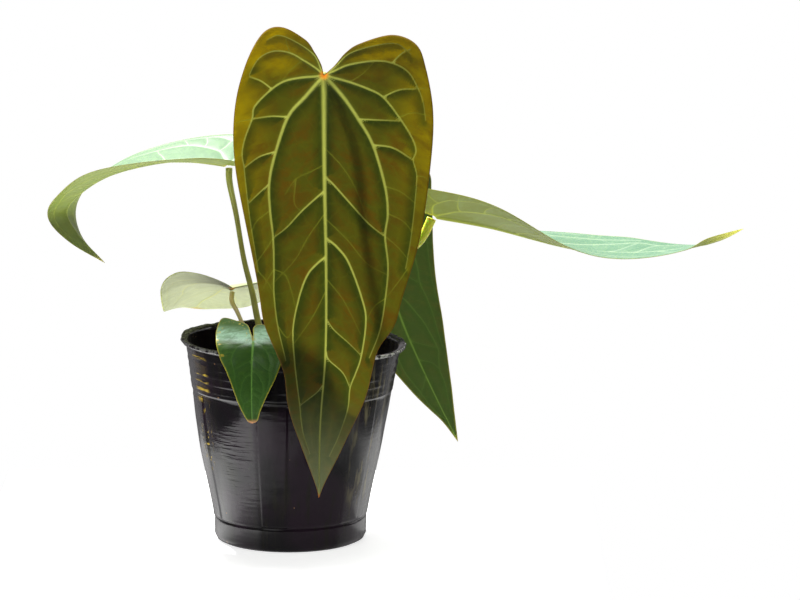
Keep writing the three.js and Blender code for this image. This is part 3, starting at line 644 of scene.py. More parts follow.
def makeLeafMasks():
    group = bpy.data.node_groups.new("leafMasks", "ShaderNodeTree")
    for title, value in leafMask.items():
        group.interface.new_socket(title, in_out="INPUT", socket_type=number).default_value = value
    given = group.nodes.new("NodeGroupInput").outputs
    flat = attributeOf(group, "flat", "Vector")
    x, y, z = [axisOf(flat, axis) for axis in "XYZ"]
    off = sums("ABSOLUTE", x)
    # streaks run out and down from the midrib on both sides
    folded = joinXyz(group, timesPlus(y, 0.55, times(off, 0.8)), timesPlus(y, 1.75, times(off, -1.1)),
                     plus(z, sums("GREATER_THAN", x, 0.0)))
    mottle = noise(folded, sums("DIVIDE", 1.0, given["Mottle Size"]), 6.0, 0.66, 0.5)
    grain = noise(flat, 14.0, 3.0, 0.6)
    wander = vectors("MULTIPLY", noise(flat, 2.2, 2.0, output="Color"), (0.35, 0.35, 0.0))
    cells = addNode(group, "ShaderNodeTexVoronoi", {
        "Vector": vectors("ADD", flat, wander), "Scale": given["Net Size"]}, "Distance",
        feature="DISTANCE_TO_EDGE")
    net = fade(cells, 0.0, 0.14)

    def lineMask(kind, gap, low, high):
        # close to a line its way is exact between the mesh's points, further off its plain ratio is
        way = vectors("LENGTH", attributeOf(group, f"{kind}Way", "Vector"))
        share = timesPlus(grow(gap, 0.7, 1.1), sums("SUBTRACT", attributeOf(group, kind), way), way)
        return times(fade(share, low, high), attributeOf(group, f"{kind}Strong"))

    # the veins pale off towards the edges
    veinGap, rim, tip = [attributeOf(group, name) for name in ("veinGap", "rim", "tip")]
    vein = times(lineMask("vein", veinGap, 0.35, 1.7), fade(off, 1.5, 6.0, 1.0, 0.62))
    link = lineMask("link", attributeOf(group, "linkGap"), 0.3, 1.9)
    reach = vectors("LENGTH", vectors("MULTIPLY", flat, (1.0, 1.0, 0.0)))
    # the outer parts: the lobes above the junction and the flanks, which fade towards the tip
    leant = timesPlus(x, given["Outer Lean"], off)
    flank = times(grow(leant, given["Outer Low"], given["Outer High"]), fade(y, 1.0, 9.0, 0.7, 0.3))
    lobe = times(fade(y, -1.2, 0.6), grow(leant, 0.6, 2.6, start=0.3))
    # the strip across the junction, where a leaf that hangs over the rim turns down; on the small leaf it
    # carries a painted sheen
    folds = timesPlus(off, 0.25, y)
    folds = sums("MAXIMUM", folds, times(folds, -0.35))
    results = {
        "Mottle": grow(mottle, given["Mottle Low"], given["Mottle High"]),
        "Patch": grow(noise(flat, 0.3, 2.0), 0.38, 0.62),
        "Outer": sums("MAXIMUM", flank, lobe),
        "Band": times(fade(veinGap, 0.0, given["Band Width"]), attributeOf(group, "within")),
        "Halo": fade(veinGap, 0.0, 1.8),
        "Net": net, "Link": link, "Vein": vein,
        "Rim": fade(rim, 0.0, given["Rim Width"]),
        "Tip": fade(tip, 0.0, given["Tip Reach"]),
        "Tip Light": fade(tip, 0.0, given["Tip Light Reach"]),
        "Spots": times(grow(noise(flat, 4.5, 1.0), 0.6, 0.66), fade(rim, 1.5, 4.0),
                       grow(sums("SUBTRACT", given["Spot Reach"], y), 0.0, 0.4), grow(x, -0.5, 0.5)),
        "Grain": grain, "Near": fade(reach, 0.1, 3.6), "Junction": fade(reach, 0.06, 0.34),
        "Fold Sheen": times(fade(folds, 0.1, 0.55), grow(mottle, 0.3, 0.6, start=0.35)),
        "Under": attributeOf(group, "under"),
        "Height": timesPlus(link, -0.5, timesPlus(grain, 0.35, times(net, -0.35))),
    }
    for title in results:
        group.interface.new_socket(title, in_out="OUTPUT", socket_type=number)
    setInputs(group.nodes.new("NodeGroupOutput"), results)
    return group


leafMasks = makeLeafMasks()

# Colours of each leaf by the light that it sends back and by the light that it lets through, and
# where its masks and their strengths differ from the common ones
leafStrength = {
    "mottle": 1.0, "outer": 0.5, "band": 0.5, "net": 0.15, "link": 0.4, "halo": 0.4, "near": 0.2,
    "spots": 0.0, "junction": 0.8,
}
leafLook = {
    "front": {
        "back": {"field": "3a3c1c", "mottle": "42381a", "outer": "5c520c", "band": "2a331c",
            "link": "484c28", "vein": "6c7444", "halo": "444c38", "rim": "86683c", "tip": "b07838",
            "spot": "b07030", "under": "5a6a34", "underVein": "b0b868", "tipLight": "949a70"},
        "through": {"field": "7e7f44", "mottle": "9a7536", "outer": "fed81c", "band": "56653a",
            "link": "9ea24c", "vein": "dcdea2", "halo": "7e8b5e", "rim": "a07a38", "tip": "f0a050",
            "spot": "ffb050", "under": "acaa48", "underVein": "e4e896"},
        "masks": {"Mottle Size": 1.5, "Mottle Low": 0.38, "Mottle High": 0.66, "Band Width": 7.0,
            "Net Size": 1.25, "Rim Width": 0.55, "Outer Low": 2.4, "Outer High": 5.4, "Outer Lean": 0.1,
            "Tip Reach": 3.5, "Tip Light Reach": 66.0},
        "strength": {"mottle": 0.95, "outer": 0.95, "band": 1.0, "net": 0.1, "link": 0.65, "halo": 0.08,
            "near": 0.6},
        "roughness": 0.6, "specular": 0.1, "sheen": 0.03, "coat": 0.0, "passes": 0.65, "bump": 0.12,
    },
    "left": {
        "back": {"field": "6a8c6c", "mottle": "769a72", "outer": "769a72", "band": "608662",
            "link": "88a488", "vein": "b4c6b0", "halo": "88a888", "rim": "9a9c60", "tip": "d8d49c",
            "spot": "a8a050", "under": "848862", "underVein": "a8ac64"},
        "through": {"field": "b0bc69", "mottle": "b8c070", "outer": "b8c070", "band": "a6b460",
            "link": "c0c878", "vein": "dce09c", "halo": "b8c478", "rim": "ccc868", "tip": "f0e6a0",
            "spot": "e0c060", "under": "b8c474", "underVein": "d0d480"},
        "masks": {"Mottle Size": 0.9, "Rim Width": 0.7, "Tip Reach": 9.0},
        "strength": {"outer": 0.4, "link": 0.5},
        "roughness": 0.42, "specular": 0.22, "sheen": 0.0, "coat": 0.06, "passes": 0.4, "bump": 0.03,
    },
    "right": {
        "back": {"field": "649074", "mottle": "7ca080", "outer": "7ca080", "band": "648c6e",
            "link": "94ac98", "vein": "b8ccaa", "halo": "94b09a", "rim": "a4aa5c", "tip": "d4d688",
            "spot": "b8b450", "under": "485a36", "underVein": "748244"},
        "through": {"field": "bec281", "mottle": "c6c888", "outer": "c6c888", "band": "b2b878",
            "link": "ccd08c", "vein": "e0e490", "halo": "c8cc8c", "rim": "dcdc70", "tip": "f6f49c",
            "spot": "e8e060", "under": "bec281", "underVein": "e0e480"},
        "masks": {"Mottle Low": 0.45, "Rim Width": 0.7, "Tip Reach": 24.0, "Spot Reach": 30.0},
        "strength": {"outer": 0.4, "link": 0.5, "spots": 0.2},
        "roughness": 0.42, "specular": 0.22, "sheen": 0.0, "coat": 0.06, "passes": 0.4, "bump": 0.03,
    },
    "back": {
        "back": {"field": "384827", "mottle": "484c2a", "outer": "3e4c28", "band": "2e4422",
            "link": "48602e", "vein": "5c7c3c", "halo": "3e5830", "rim": "8c8c44", "tip": "a09848",
            "spot": "b0a840", "under": "5a7a3c", "underVein": "90b060"},
        "through": {"field": "8a9b62", "mottle": "a09a60", "outer": "94a060", "band": "7c9458",
            "link": "98a868", "vein": "b8cc7c", "halo": "8ea468", "rim": "d0c870", "tip": "d0c870",
            "spot": "d8d060", "under": "8a9b62", "underVein": "b8cc7c"},
        "masks": {"Mottle Size": 1.4, "Band Width": 3.5, "Net Size": 1.6},
        "strength": {"band": 0.6, "net": 0.12, "link": 0.35, "halo": 0.25},
        "roughness": 0.42, "specular": 0.25, "sheen": 0.0, "coat": 0.06, "passes": 0.4, "bump": 0.14,
    },
    "pale": {
        "back": {"field": "cad19c", "mottle": "c0cb92", "outer": "bac48c", "band": "acc084",
            "link": "ccd49c", "vein": "c8c882", "halo": "b4bf88", "rim": "a4ac50", "tip": "a09448",
            "spot": "c08c34", "under": "aeb684", "underVein": "c4c47c"},
        "through": {"field": "c0c2b4", "mottle": "b8bca8", "outer": "aeb2a0", "band": "a0ac90",
            "link": "b8bca8", "vein": "b8b88c", "halo": "a0a890", "rim": "c4c864", "tip": "c8b458",
            "spot": "f0a83c", "under": "a4a69a", "underVein": "b8b88c"},
        "masks": {"Band Width": 2.4, "Net Size": 2.6, "Outer Low": 1.0, "Outer High": 3.0},
        "strength": {"net": 0.1, "halo": 0.3},
        "roughness": 0.45, "specular": 0.35, "sheen": 0.0, "coat": 0.1, "passes": 0.45, "bump": 0.1,
    },
    "small": {
        "back": {"field": "345a18", "mottle": "446c1c", "outer": "587c1c", "band": "284c14",
            "link": "447020", "vein": "74a848", "halo": "447424", "rim": "b8b03c", "tip": "d09468",
            "spot": "d0b83c", "under": "4a6a34", "underVein": "7fa858", "gloss": "b8e4c4"},
        "through": {"field": "607c40", "mottle": "6c8840", "outer": "84a03c", "band": "547438",
            "link": "749048", "vein": "a0c868", "halo": "688848", "rim": "d8c850", "tip": "d0a070",
            "spot": "e0c050", "under": "688c48", "underVein": "a0d060"},
        "masks": {"Mottle Size": 0.6, "Band Width": 2.2, "Net Size": 2.4, "Outer Low": 0.8,
            "Outer High": 2.0, "Tip Reach": 3.0, "Spot Reach": 1.4},
        "strength": {"junction": 0.0, "outer": 0.6, "band": 0.6, "link": 0.3, "halo": 0.2, "near": 0.1,
            "spots": 0.8},
        "roughness": 0.42, "specular": 0.3, "sheen": 0.0, "coat": 0.12, "passes": 0.3, "bump": 0.16,
    },
}


def leafTones(masks, tones, strength):
    def share(name):
        return times(masks[name], strength[name.lower()])

    inside = timesPlus(masks["Outer"], -0.5, 1.0)
    colour = blend(share("Outer"), tones["field"], tones["outer"])
    uneven = times(share("Mottle"), timesPlus(masks["Patch"], 0.6, 0.4), inside)
    colour = blend(uneven, colour, tones["mottle"])
    colour = blend(times(share("Band"), inside), colour, tones["band"])
    colour = blend(share("Net"), colour, tones["link"])
    haze = times(masks["Halo"], timesPlus(masks["Near"], strength["near"], strength["halo"]))
    colour = blend(haze, colour, tones["halo"])
    colour = blend(share("Link"), colour, tones["link"])
    # painted sheen: the fold of the small leaf is made pale where it mirrors the light from above and behind
    if "gloss" in tones:
        colour = blend(masks["Fold Sheen"], colour, tones["gloss"])
    colour = blend(share("Spots"), colour, tones["spot"])
    colour = blend(masks["Vein"], colour, tones["vein"])
    below = blend(times(masks["Mottle"], 0.4), tones["under"], tones["field"])
    below = blend(share("Link"), below, tones["underVein"])
    below = blend(masks["Vein"], below, tones["underVein"])
    colour = blend(masks["Under"], colour, below)
    colour = blend(share("Junction"), colour, tones["spot"])
    # painted light: the front leaf's tip, which turns up towards the lamps, is made lighter and greyer for
    # the light that it catches
    if "tipLight" in tones:
        tipLit = times(masks["Tip Light"], timesPlus(masks["Vein"], -0.6, 1.0))
        colour = blend(tipLit, colour, tones["tipLight"])
    colour = blend(masks["Rim"], colour, tones["rim"])
    return blend(masks["Tip"], colour, tones["tip"])


def makeLeafMaterial(key):
    look = leafLook[key]
    material, tree, skin, out = newMaterial(f"{key}Leaf")
    group = tree.nodes.new("ShaderNodeGroup")
    group.node_tree = leafMasks
    setInputs(group, look["masks"])
    masks, strength = group.outputs, {**leafStrength, **look["strength"]}
    shaded = {0: 1.0, 6: leafTones(masks, look["back"], strength),
              7: fade(masks["Grain"], 0.3, 0.7, 0.9, 1.1)}
    normal = bumped(masks["Height"], look["bump"], 0.0006)
    setInputs(skin, {
        "Base Color": addNode(tree, "ShaderNodeMix", shaded, 2, data_type="RGBA", blend_type="MULTIPLY"),
        "Roughness": timesPlus(masks["Grain"], 0.16, look["roughness"] - 0.08),
        "Specular IOR Level": look["specular"], "Sheen Weight": look["sheen"], "Sheen Roughness": 0.45,
        "Coat Weight": look["coat"], "Coat Roughness": 0.22, "Normal": normal})
    glow = addNode(tree, "ShaderNodeBsdfTranslucent", {
        "Color": leafTones(masks, look["through"], strength), "Normal": normal})
    mixSurface(out, look["passes"], skin.outputs[0], glow)
    return material


leafRelief = {
    "quilt": {"front": 0.32, "left": 0.35, "right": 0.35, "back": 0.3, "pale": 0.3, "small": 0.32},
    "quiltReach": 3.2,      # mm from a vein over which the blade swells
    "groove": 0.16,         # how far a vein sinks in the upper face, as a share of its half width
    "ridge": 0.6,           # how far it stands out below
    "midrib": 1.25,         # height of the ridge below the midrib and its width near the junction
    "waveHeight": 0.22,
    # how clearly the side veins of each leaf show beside its midrib
    "sideVeins": {"front": 1.0, "left": 0.9, "right": 0.8, "back": 0.35, "pale": 0.6, "small": 0.18},
    "finest": 0.26,         # half the width in mm of the finest vein that is drawn
}


def addBlade(key, material):
    shape, quilt = leafShape[key], leafRelief["quilt"][key]
    surface = leafSurface(shape)
    gridAcross, gridAlong, length = leafGrid(shape)
    rows, width = gridAcross.shape
    across = np.concatenate([[0.0], gridAcross.ravel(), [0.0]])
    along = np.concatenate([[0.0], gridAlong.ravel(), [length]])
    mains, links = leafVeins(shape)
    veinWay, vein, veinStrong, gap, within, ridge = veinFields(
        across, along, mains, leafRelief["sideVeins"][key])
    linkWay, link, linkStrong, linkGap, _, linkRidge = veinFields(across, along, links, 1.0)
    rim = outlineDistance(across, along, shape)

    inner = smoothStep(0.0, 3.0, rim)
    swell = quilt * (1 - np.exp(-gap / leafRelief["quiltReach"])) * inner
    swell = swell * (0.75 + 0.25 * (1 - np.exp(-linkGap / 2.0)))
    wave = (leafRelief["waveHeight"] * inner * np.sin(across / 7.3 + 0.9)
            * np.sin(along / 10.7 + 0.031 * across))
    middle = -0.5 * quilt * inner + swell + wave
    ends = smoothStep(0.0, 6.0, length - along)
    down = np.clip(along / length, 0, 1)
    midribDistance = np.abs(across - splineRows(mains[0][0], down)[:, 0])
    midribHalf = leafRelief["midrib"] * (1 - down) ** 0.5 + 0.3
    midribRidge = leafRelief["midrib"] * (1 - down) ** 0.8 * np.exp(-(midribDistance / midribHalf) ** 2)
    midribRidge = midribRidge * smoothStep(-3.0, 1.0, along) * inner
    thinned = leafBuild["edgeThinning"]
    half = 0.5 * leafBuild["thickness"] * (1 - thinned + thinned * smoothStep(0.0, 1.2, rim))
    under = np.maximum(np.maximum(ridge, linkRidge), midribRidge) * ends * inner

    place = surface(across, along)
    normal = surfaceNormals(surface, across, along)
    sunk = leafRelief["groove"] * ridge / leafRelief["ridge"] * inner
    top = place + normal * (half + middle - sunk)[:, None]
    below = place + normal * (middle - half - under)[:, None]

    count = len(across)
    last = count - 1
    i, k = np.meshgrid(np.arange(rows - 1), np.arange(width - 1), indexing="ij")
    a = (1 + i * width + k).ravel()
    quads = np.stack([a, a + 1, a + 1 + width, a + width], -1)
    k = np.arange(width - 1)
    fans = np.concatenate([
        np.stack([np.zeros_like(k), 2 + k, 1 + k], -1),
        np.stack([np.full_like(k, last), last - width + k, last - width + k + 1], -1)])
    left = 1 + np.arange(rows) * width
    loop = np.concatenate([[0], left, [last], (left + width - 1)[::-1]])
    onwards = np.roll(loop, -1)
    faces = quads.tolist() + (quads[:, ::-1] + count).tolist()
    faces += fans.tolist() + (fans[:, ::-1] + count).tolist()
    faces += np.stack([loop, onwards, onwards + count, loop + count], -1).tolist()
    piece = addMesh(f"blade_{key}", np.concatenate([top, below]), faces, material)

    def way3(way):
        return np.hstack([np.clip(way, -leafBuild["farWay"], leafBuild["farWay"]), np.zeros((count, 1))])

    marks = {
        "vein": vein, "veinWay": way3(veinWay), "veinGap": np.minimum(gap, 20.0), "veinStrong": veinStrong,
        "within": within, "link": link, "linkWay": way3(linkWay), "linkGap": np.minimum(linkGap, 20.0),
        "linkStrong": linkStrong, "rim": np.minimum(rim, 20.0), "tip": np.minimum(length - along, 120.0),
        "flat": np.stack([across, along, np.full(count, len(key) * 7.0)], -1) / 10,
    }
    for name, values in marks.items():
        addAttribute(piece, name, np.concatenate([values, values]))
    addAttribute(piece, "under", np.repeat([0.0, 1.0], count))
    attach(piece, "root")
    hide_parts(f"leaf_{key}_blade")
    say(f"blade {key}: {len(piece.data.polygons)} faces")


# each stalk's own green; the left and right stalks are painted lighter still, standing in for the light that
# falls on them
stalkLook = {
    "front": {"tone": "7c7a3a", "second": "68702f", "top": "a8b048"},
    "left": {"tone": "a6a64c", "second": "84843a", "top": "bcc060"},
    "right": {"tone": "ccd050", "second": "b4ba44", "top": "f6f858", "soft": 0.9},
    "back": {"tone": "6e7d3a", "second": "5c6c30", "top": "8aa048"},
    "pale": {"tone": "ccbc80", "second": "ac9e66", "top": "e8d880"},
    "small": {"tone": "73803c", "second": "5f6c30", "top": "6f9a48"},
}


def curveThrough(points, shares):
    # a smooth line whose bends follow the distance between its points
    points = np.asarray(points, float)
    ends = np.vstack([2 * points[0] - points[1], points, 2 * points[-1] - points[-2]])
    line = []
    for i in range(len(points) - 1):
        a, b, c, d = ends[i:i + 4]
        gaps = [max(np.linalg.norm(v) ** 0.5, 1e-4) for v in (b - a, c - b, d - c)]
        leave = ((b - a) / gaps[0] - (c - a) / (gaps[0] + gaps[1]) + (c - b) / gaps[1]) * gaps[1]
        arrive = ((c - b) / gaps[1] - (d - b) / (gaps[1] + gaps[2]) + (d - c) / gaps[2]) * gaps[1]
        t = np.linspace(0.0, 1.0, 61)[:, None]
        part = ((2 * t ** 3 - 3 * t ** 2 + 1) * b + (t ** 3 - 2 * t ** 2 + t) * leave
                + (3 * t ** 2 - 2 * t ** 3) * c + (t ** 3 - t ** 2) * arrive)
        line.append(part if i == 0 else part[1:])
    line = np.vstack(line)
    lengths = runningLength(line)
    wanted = np.asarray(shares) * lengths[-1]
    return np.stack([np.interp(wanted, lengths, line[:, k]) for k in range(3)], -1), lengths[-1]


def makeStalkMaterial(key):
    look = stalkLook[key]
    material, tree, skin, out = newMaterial(f"{key}Stalk")
    flat = attributeOf(tree, "flat", "Vector")
    lines = noise(stretched(flat, 3.0, 0.35, 1.0), 4.0, 3.0)
    colour = blend(grow(lines, 0.35, 0.65), look["tone"], look["second"])
    colour = blend(grow(attributeOf(tree, "reach"), 0.72, 0.98), colour, look["top"])
    colour = blend(grow(noise(flat, 14.0, 2.0), 0.62, 0.7, 0.35), colour, "d8d49a")
    setInputs(skin, {
        "Base Color": colour, "Roughness": 0.38, "Subsurface Weight": look.get("soft", 0.25),
        "Subsurface Radius": (0.6, 0.8, 0.2), "Subsurface Scale": 0.002,
        "Normal": bumped(lines, 0.15, 0.0004)})
    return material


def addStalk(key):
    shape = leafShape[key]
    surface = leafSurface(shape)
    start = np.zeros(1)
    normal = surfaceNormals(surface, start, start)[0]
    end = surface(start, start)[0] - normal * leafBuild["solidReach"]
    away = np.asarray(shape.get("approach", -normal), float)
    path = list(shape["stalk"]) + [end + away * 3.5 * shape["radii"][-1], end]
    rings, sides = leafBuild["stalkRings"], leafBuild["stalkSides"]
    shares = 1 - (1 - np.linspace(0.0, 1.0, rings)) ** 1.3
    centres, length = curveThrough(path, shares)
    tangents = unit(np.gradient(centres, axis=0))
    radii = splineRows(np.asarray(shape["radii"])[:, None], shares)[:, 0]
    across = np.array([1.0, 0.0, 0.0])
    rounds = np.arange(sides) * 2 * math.pi / sides
    points, flats = [], []
    for i in range(rings):
        across = across - tangents[i] * (across @ tangents[i])
        across = across / np.linalg.norm(across)
        over = np.cross(tangents[i], across)
        # stalks aren't quite round
        uneven = 1 + 0.03 * np.sin(2 * rounds + 9 * shares[i]) + 0.02 * np.sin(3 * rounds - 5 * shares[i])
        radius = radii[i] * uneven
        points.append(centres[i] + np.outer(radius * np.cos(rounds), across)
                      + np.outer(radius * np.sin(rounds), over))
        flats.append(np.stack([np.sin(rounds), np.full(sides, shares[i] * length / 10), np.cos(rounds)], -1))
    points, faces = tube(points, [centres[0], centres[-1] + normal * 0.25])
    piece = addMesh(f"stalk_{key}", points, faces, makeStalkMaterial(key))
    addAttribute(piece, "flat", np.vstack(flats + [np.zeros((2, 3))]))
    addAttribute(piece, "reach", np.append(np.repeat(shares, sides), [0.0, 1.0]))
    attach(piece, "root")
    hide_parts(f"leaf_{key}_petiole")


for leafKey in leafShape:
    addBlade(leafKey, makeLeafMaterial(leafKey))
    addStalk(leafKey)
say("six stalks")


potShape = {
    "height": 108.0, "lipRadius": 60.0, "baseRadius": 37.5, "footRadius": 40.6, "footHeight": 13.2,
    "wallFootRadius": 40.95, "wallFootHeight": 14.2, "stepHeight": 82.0, "stepRadius": 52.7, "stepOut": 0.55,
    "collarTopHeight": 105.0, "collarTopRadius": 56.5, "wall": 1.0,
    "lean": 2.0, "tilt": 0.04, "lipWaves": 5, "lipWaveHeight": 0.35,
    "directions": 520,
}
potRelief = {
    "Rings": 5, "Ring Pitch": 4.1, "First Ring": 84.0, "Ring Relief": 0.2,
    "Ribs": 6, "First Rib": -21.0, "Rib Width": 20.0, "Rib Relief": 0.6,
    "Belly Left": 1.5, "Belly Right": 0.8, "Ruffle Size": 2.0, "Ruffle Waves": 8.5,
    "Wrinkle Size": 0.32, "Dent Size": 1.1,
    "Drain Holes": 6, "Drain Circle": 24.0, "Drain Radius": 3.5,
}


def potSettled(radius, degrees, height):
    # places on the pot, moved as the soft pot has settled
    angle = np.radians(degrees - 90)
    height = height + np.zeros(len(degrees))
    share = height / potShape["height"]
    x = radius * np.cos(angle)
    rise = (-potShape["tilt"] * x * share ** 3
            + potShape["lipWaveHeight"] * share ** 6 * np.sin(potShape["lipWaves"] * angle))
    return np.stack([x + potShape["lean"] * share, radius * np.sin(angle), height + rise], -1)


def potSection():
    # corners from under the base round to the floor: radius, height, the rows of points from there
    # to the next corner, and which part of the pot they belong to
    p = potShape
    base, foot, footTop = p["baseRadius"], p["footRadius"], p["footHeight"]
    step, stepHeight, collar = p["stepRadius"], p["stepHeight"], p["stepRadius"] + p["stepOut"]
    lip, top, wall = p["lipRadius"], p["height"], p["wall"]
    corners = [
        (base - 6, 0.0, 3, "foot"), (base, 0.0, 3, "foot"), (base + 2.1, 1.0, 3, "foot"),
        (foot - 0.1, 3.4, 8, "foot"), (foot, footTop - 0.8, 3, "foot"), (foot - 0.4, footTop, 3, "edge"),
        (p["wallFootRadius"], p["wallFootHeight"], 44, "wall"), (step, stepHeight - 0.4, 4, "edge"),
        (collar, stepHeight + 0.6, 50, "collar"), (p["collarTopRadius"], p["collarTopHeight"], 2, "lip"),
        (p["collarTopRadius"] + 0.6, top - 2.3, 4, "lip"), (lip - 0.8, top - 2.1, 3, "lip"),
        (lip, top - 1.2, 3, "lip"), (lip - 0.4, top - 0.2, 3, "lip"), (lip - 1.6, top, 3, "lip"),
        (lip - 3, top - 0.4, 3, "lip"), (lip - 4, top - 1.6, 3, "lip"),
        (p["collarTopRadius"] - wall, p["collarTopHeight"], 8, "inside"),
        (collar - wall, stepHeight + 0.8, 2, "inside"), (step - wall, stepHeight - 0.2, 8, "insideWall"),
        (p["wallFootRadius"] - wall, p["wallFootHeight"] + 0.2, 2, "inside"),
        (foot - wall, footTop - 1, 3, "inside"), (foot - wall - 0.1, 3.8, 2, "inside"),
        (base + 0.9, 1.8, 1, "inside"), (base - 0.1, 1.2, 2, "inside"), (base - 6, 1.2, 1, "inside"),
    ]
    rows = []
    for (radius, height, parts, part), (nextRadius, nextHeight, *_) in zip(corners, corners[1:]):
        for i in range(parts):
            t = i / parts
            rows.append((radius + (nextRadius - radius) * t, height + (nextHeight - height) * t, part))
    rows.append((*corners[-1][:2], "inside"))
    return rows


def plainPot():
    rows, around = potSection(), potShape["directions"]
    degrees = np.arange(around) * 360.0 / around - 180.0
    rings = [potSettled(radius, degrees, height) for radius, height, part in rows]
    piece = addMesh("pot_plain", *tube(rings, [(0, 0, 0), (0, 0, 1.2)]), None)

    def spread(values):
        return np.append(np.repeat(np.asarray(values, float), around), [0.0, 0.0])

    radii, heights, parts = zip(*rows)
    addAttribute(piece, "high", spread(heights))
    addAttribute(piece, "ribbed", spread([part in ("wall", "insideWall") for part in parts]))
    addAttribute(piece, "ringed", spread([part == "collar" for part in parts]))
    brink = np.maximum(0.0, 1 - np.abs(np.array(radii) - potShape["lipRadius"] + 0.2) / 1.2)
    addAttribute(piece, "brink", spread(brink * [part == "lip" for part in parts]))
    addAttribute(piece, "around", np.append(np.tile(degrees, len(rows)), [0.0, 0.0]))
    return piece


def geometryTree(name, values):
    tree = bpy.data.node_groups.new(name, "GeometryNodeTree")
    sockets = [("Geometry", "NodeSocketGeometry")]
    sockets += [(title, "NodeSocketInt" if isinstance(value, int) else number)
                for title, value in values.items()]
    for title, kind in sockets + [("Material", "NodeSocketMaterial")]:
        socket = tree.interface.new_socket(title, in_out="INPUT", socket_type=kind)
        if title in values:
            socket.default_value = values[title]
    tree.interface.new_socket("Geometry", in_out="OUTPUT", socket_type="NodeSocketGeometry")
    return tree, tree.nodes.new("NodeGroupInput").outputs, tree.nodes.new("NodeGroupOutput")


def finishTree(given, out, result):
    whole = addNode(out.id_data, "GeometryNodeRealizeInstances", {"Geometry": result})
    painted = addNode(out.id_data, "GeometryNodeSetMaterial", {
        "Geometry": whole, "Material": given["Material"]})
    setInputs(out, {0: painted})


def runTree(plain, tree, values, name):
    # the modifier's result as a plain mesh piece
    modifier = plain.modifiers.new(tree.name, "NODES")
    modifier.node_group = tree
    for item in tree.interface.items_tree:
        if item.in_out == "INPUT" and item.name in values:
            modifier[item.identifier] = values[item.name]
    result = plain.evaluated_get(bpy.context.evaluated_depsgraph_get())
    mesh = bpy.data.meshes.new_from_object(result)
    plain.modifiers.clear()
    spent = plain.data
    bpy.data.objects.remove(plain)
    bpy.data.meshes.remove(spent)
    piece = bpy.data.objects.new(name, mesh)
    mesh.name = name
    scene.collection.objects.link(piece)
    return piece


def named(tree, name):
    return addNode(tree, "GeometryNodeInputNamedAttribute", {"Name": name}, "Attribute", data_type="FLOAT")


def makePotTree():
    tree, given, out = geometryTree("potRelief", potRelief)
    high, around = named(tree, "high"), named(tree, "around")
    place = addNode(tree, "GeometryNodeInputPosition")
    # rings round the collar, worn and pressed flat in places
    level = sums("DIVIDE", sums("SUBTRACT", high, given["First Ring"]), given["Ring Pitch"])
    part = sums("FRACT", level)
    pressed = noise(vectors("MULTIPLY", place, (38.0, 38.0, 110.0)), 1.0, 2.0)
    ring = times(grow(part, 0.0, 0.2), fade(part, 0.38, 0.6), sums("GREATER_THAN", level, 0.0),
                 sums("LESS_THAN", level, given["Rings"]), named(tree, "ringed"),
                 grow(pressed, 0.38, 0.62, start=0.1))
    # upright ribs
    pitch = sums("DIVIDE", 360.0, given["Ribs"])
    turned = sums("FLOORED_MODULO", sums("SUBTRACT", around, given["First Rib"]), pitch)
    leave = sums("SUBTRACT", given["Rib Width"], turned)
    rib = times(grow(turned, 0.0, 1.6), grow(leave, 0.0, 1.6), named(tree, "ribbed"))

    def uneven(value, size):
        return times(sums("SUBTRACT", value, 0.5), given[size])

    # ruffled lip, wrinkles and shallow dents
    way = vectors("NORMALIZE", vectors("MULTIPLY", place, (1.0, 1.0, 0.0)))
    ruffle = times(uneven(noise(way, given["Ruffle Waves"], 1.5, 0.55), "Ruffle Size"),
                   grow(high, 100.0, 107.0))
    frontLeft = times(grow(around, -52.0, -36.0), fade(around, -8.0, 6.0))
    wrinkle = uneven(noise(vectors("MULTIPLY", place, (55.0, 55.0, 420.0)), 1.0, 2.0), "Wrinkle Size")
    wrinkle = times(wrinkle, timesPlus(frontLeft, 0.8, 0.2))
    dent = uneven(noise(place, 26.0, 1.0), "Dent Size")
    rough = times(plus(wrinkle, dent), grow(high, 6.0, 22.0))
    outward = timesPlus(ring, given["Ring Relief"], plus(rough, ruffle))
    outward = timesPlus(rib, given["Rib Relief"], outward)
    # the full pot bulges to both sides below its collar
    aside = axisOf(way, "X")
    bulge = times(grow(high, 14.0, 56.0, start=0.2), fade(high, 66.0, 86.0, 1.0, 0.5),
                  fade(high, 103.0, 107.0), grow(high, 1.0, 3.0))
    toLeft = times(fade(aside, -1.0, -0.3), given["Belly Left"])
    toRight = times(grow(aside, 0.3, 1.0), given["Belly Right"])
    outward = timesPlus(plus(toLeft, toRight), bulge, outward)
    step = vectors("SCALE", way, times(outward, mm))
    lift = joinXyz(tree, z=times(ruffle, 0.6 * mm))
    moved = addNode(tree, "GeometryNodeSetPosition", {
        "Geometry": given["Geometry"], "Offset": vectors("ADD", step, lift)})
    kept = addNode(tree, "GeometryNodeStoreNamedAttribute", {
        "Geometry": moved, "Name": "crest", "Value": plus(ring, rib)}, data_type="FLOAT", domain="POINT")
    # drain holes in the floor
    circle = addNode(tree, "GeometryNodeMeshCircle", {
        "Vertices": given["Drain Holes"], "Radius": times(given["Drain Circle"], mm)})
    turn = addNode(tree, "GeometryNodeTransform", {"Geometry": circle, "Rotation": (0.0, 0.0, math.pi / 6)})
    bore = addNode(tree, "GeometryNodeMeshCylinder", {
        "Vertices": 32, "Depth": 0.006, "Radius": times(given["Drain Radius"], mm)})
    bores = addNode(tree, "GeometryNodeInstanceOnPoints", {"Points": turn, "Instance": bore})
    cutters = addNode(tree, "GeometryNodeRealizeInstances", {"Geometry": bores})
    cut = addNode(tree, "GeometryNodeMeshBoolean", {0: kept, 1: cutters},
                  operation="DIFFERENCE", solver="MANIFOLD")
    finishTree(given, out, addNode(tree, "GeometryNodeSetShadeSmooth", {"Geometry": cut}))
    return tree


